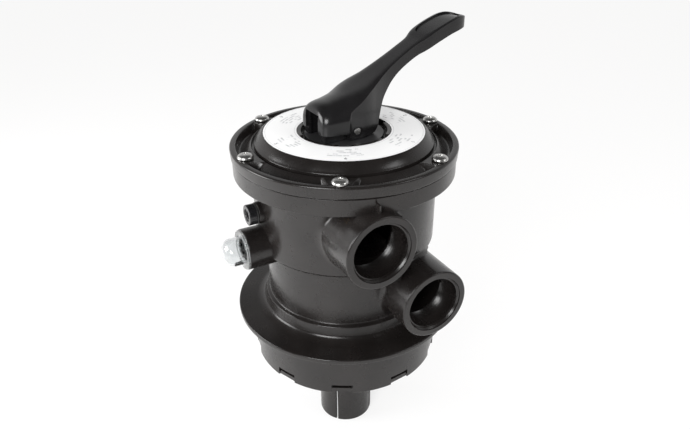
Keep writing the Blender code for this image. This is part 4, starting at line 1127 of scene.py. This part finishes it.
def studio_walls(tree):
    """The room as a gloss shows it: a white sweep behind the valve, a dim room before it."""
    place_node = tree.nodes.new("ShaderNodeTexCoord")
    facing = tree.nodes.new("ShaderNodeVectorMath")
    facing.operation = "DOT_PRODUCT"
    facing.inputs[1].default_value = place(SWEEP_AZIMUTH, 1.0)
    tree.links.new(place_node.outputs["Generated"], facing.inputs[0])
    height = tree.nodes.new("ShaderNodeSeparateXYZ")
    tree.links.new(place_node.outputs["Generated"], height.inputs["Vector"])
    low_part = ramp(tree, height.outputs["Z"], 0.85, 0.3, 0.0, 1.0)
    strength = tree.nodes.new("ShaderNodeMath")
    strength.operation = "MULTIPLY_ADD"
    tree.links.new(ramp(tree, facing.outputs["Value"], -0.3, 0.5, 0.0, 1.0 - ROOM_LEVEL),
                   strength.inputs[0])
    tree.links.new(low_part, strength.inputs[1])
    strength.inputs[2].default_value = ROOM_LEVEL
    walls = tree.nodes.new("ShaderNodeBackground")
    tree.links.new(strength.outputs[0], walls.inputs["Strength"])
    return walls.outputs[0]


SWEEP_AZIMUTH, ROOM_LEVEL, SOFT_LEVEL, FLOOR_GLOW = 152.0, 0.07, 0.85, 0.7


def make_world():
    world = bpy.data.worlds.new("studio")
    bpy.context.scene.world = world
    world.use_nodes = True
    tree = world.node_tree
    light = tree.nodes["Background"]
    light.inputs["Color"].default_value = (1.0, 0.99, 0.98, 1)
    light.inputs["Strength"].default_value = SOFT_LEVEL
    white = tree.nodes.new("ShaderNodeBackground")
    white.inputs["Strength"].default_value = 1.0
    room = mix_shaders(tree, ray_share(tree, "Is Glossy Ray"), light.outputs[0],
                       studio_walls(tree))
    seen = mix_shaders(tree, ray_share(tree, "Is Camera Ray", "Is Transmission Ray"), room,
                       white.outputs[0])
    tree.links.new(seen, tree.nodes["World Output"].inputs["Surface"])


def make_floor():
    shape = bmesh.new()
    size = 4000.0
    z = TUBE_LOW.z - 0.2
    shape.faces.new([shape.verts.new((x, y, z)) for x,
                     y in ((-size, -size), (size, -size), (size, size), (-size, size))])
    floor = loose_object(shape, "studio_floor")
    floor.data.transform(Matrix.Scale(MM, 4))
    material = bpy.data.materials.new("floor_white")
    material.use_nodes = True
    tree = material.node_tree
    shader = tree.nodes["Principled BSDF"]
    shader.inputs["Base Color"].default_value = (0.93, 0.93, 0.93, 1)
    shader.inputs["Roughness"].default_value = 0.9
    shader.inputs["Specular IOR Level"].default_value = 0.1
    glow = tree.nodes.new("ShaderNodeEmission")
    pale = mix_shaders(tree, FLOOR_GLOW, shader.outputs[0], glow.outputs[0])
    seen = mix_shaders(tree, ray_share(tree, "Is Camera Ray", "Is Transmission Ray"),
                       shader.outputs[0], pale)
    tree.links.new(seen, tree.nodes["Material Output"].inputs["Surface"])
    floor.data.materials.append(material)


def soft_light(name, power, size, azimuth, distance, height, aim=(0, 0, 0.03)):
    lamp = bpy.data.lights.new(name, "AREA")
    lamp.shape, lamp.size, lamp.energy = "SQUARE", size, power
    made = bpy.data.objects.new(name, lamp)
    bpy.context.scene.collection.objects.link(made)
    spot = place(azimuth, distance, height)
    made.location = spot
    made.rotation_euler = (Vector(aim) - spot).to_track_quat("-Z", "Y").to_euler()


def make_lights():
    soft_light("key", 9.0, 0.45, -52.0, 1.0, 0.55)
    soft_light("fill", 2.5, 0.4, 40.0, 1.1, 0.8)
    soft_light("edge", 7.0, 0.5, -112.0, 1.0, 0.35)


CAMERA_TURN = -28.0
CAMERA_DISTANCE, CAMERA_HEIGHT = 500.0, 360.06
CAMERA_PITCH, CAMERA_ROLL, CAMERA_YAW = 28.52, -0.33, 0.05


def make_camera():
    pitch, roll, yaw = (radians(angle) for angle in (CAMERA_PITCH, CAMERA_ROLL, CAMERA_YAW))
    forward = Vector((sin(yaw) * cos(pitch), cos(yaw) * cos(pitch), -sin(pitch)))
    right = Vector((cos(yaw), -sin(yaw), 0))
    up = right.cross(forward)
    across, upright = cos(roll) * right + sin(roll) * up, cos(roll) * up - sin(roll) * right
    matrix = Matrix((across, upright, -forward)).transposed().to_4x4()
    matrix.translation = Vector((0, -CAMERA_DISTANCE, CAMERA_HEIGHT)) * MM
    lens = bpy.data.cameras.new("camera")
    lens.lens, lens.sensor_width = 32.32, 36.0
    lens.clip_start = 0.01
    camera = bpy.data.objects.new("camera", lens)
    bpy.context.scene.collection.objects.link(camera)
    camera.matrix_world = Matrix.Rotation(radians(CAMERA_TURN), 4, "Z") @ matrix
    bpy.context.scene.camera = camera


# ---------------------------------------------------------------- the whole valve

make_housing()
make_lid()
make_numerals()
make_screws()
make_lever()
make_sight_glass()
make_gauge_plug()
make_collar()
make_diffuser()
make_neck_seal()
make_spring()
paint_inner_nodes()
make_world()
make_floor()
make_lights()
make_camera()
bpy.context.scene.view_settings.view_transform = "Standard"
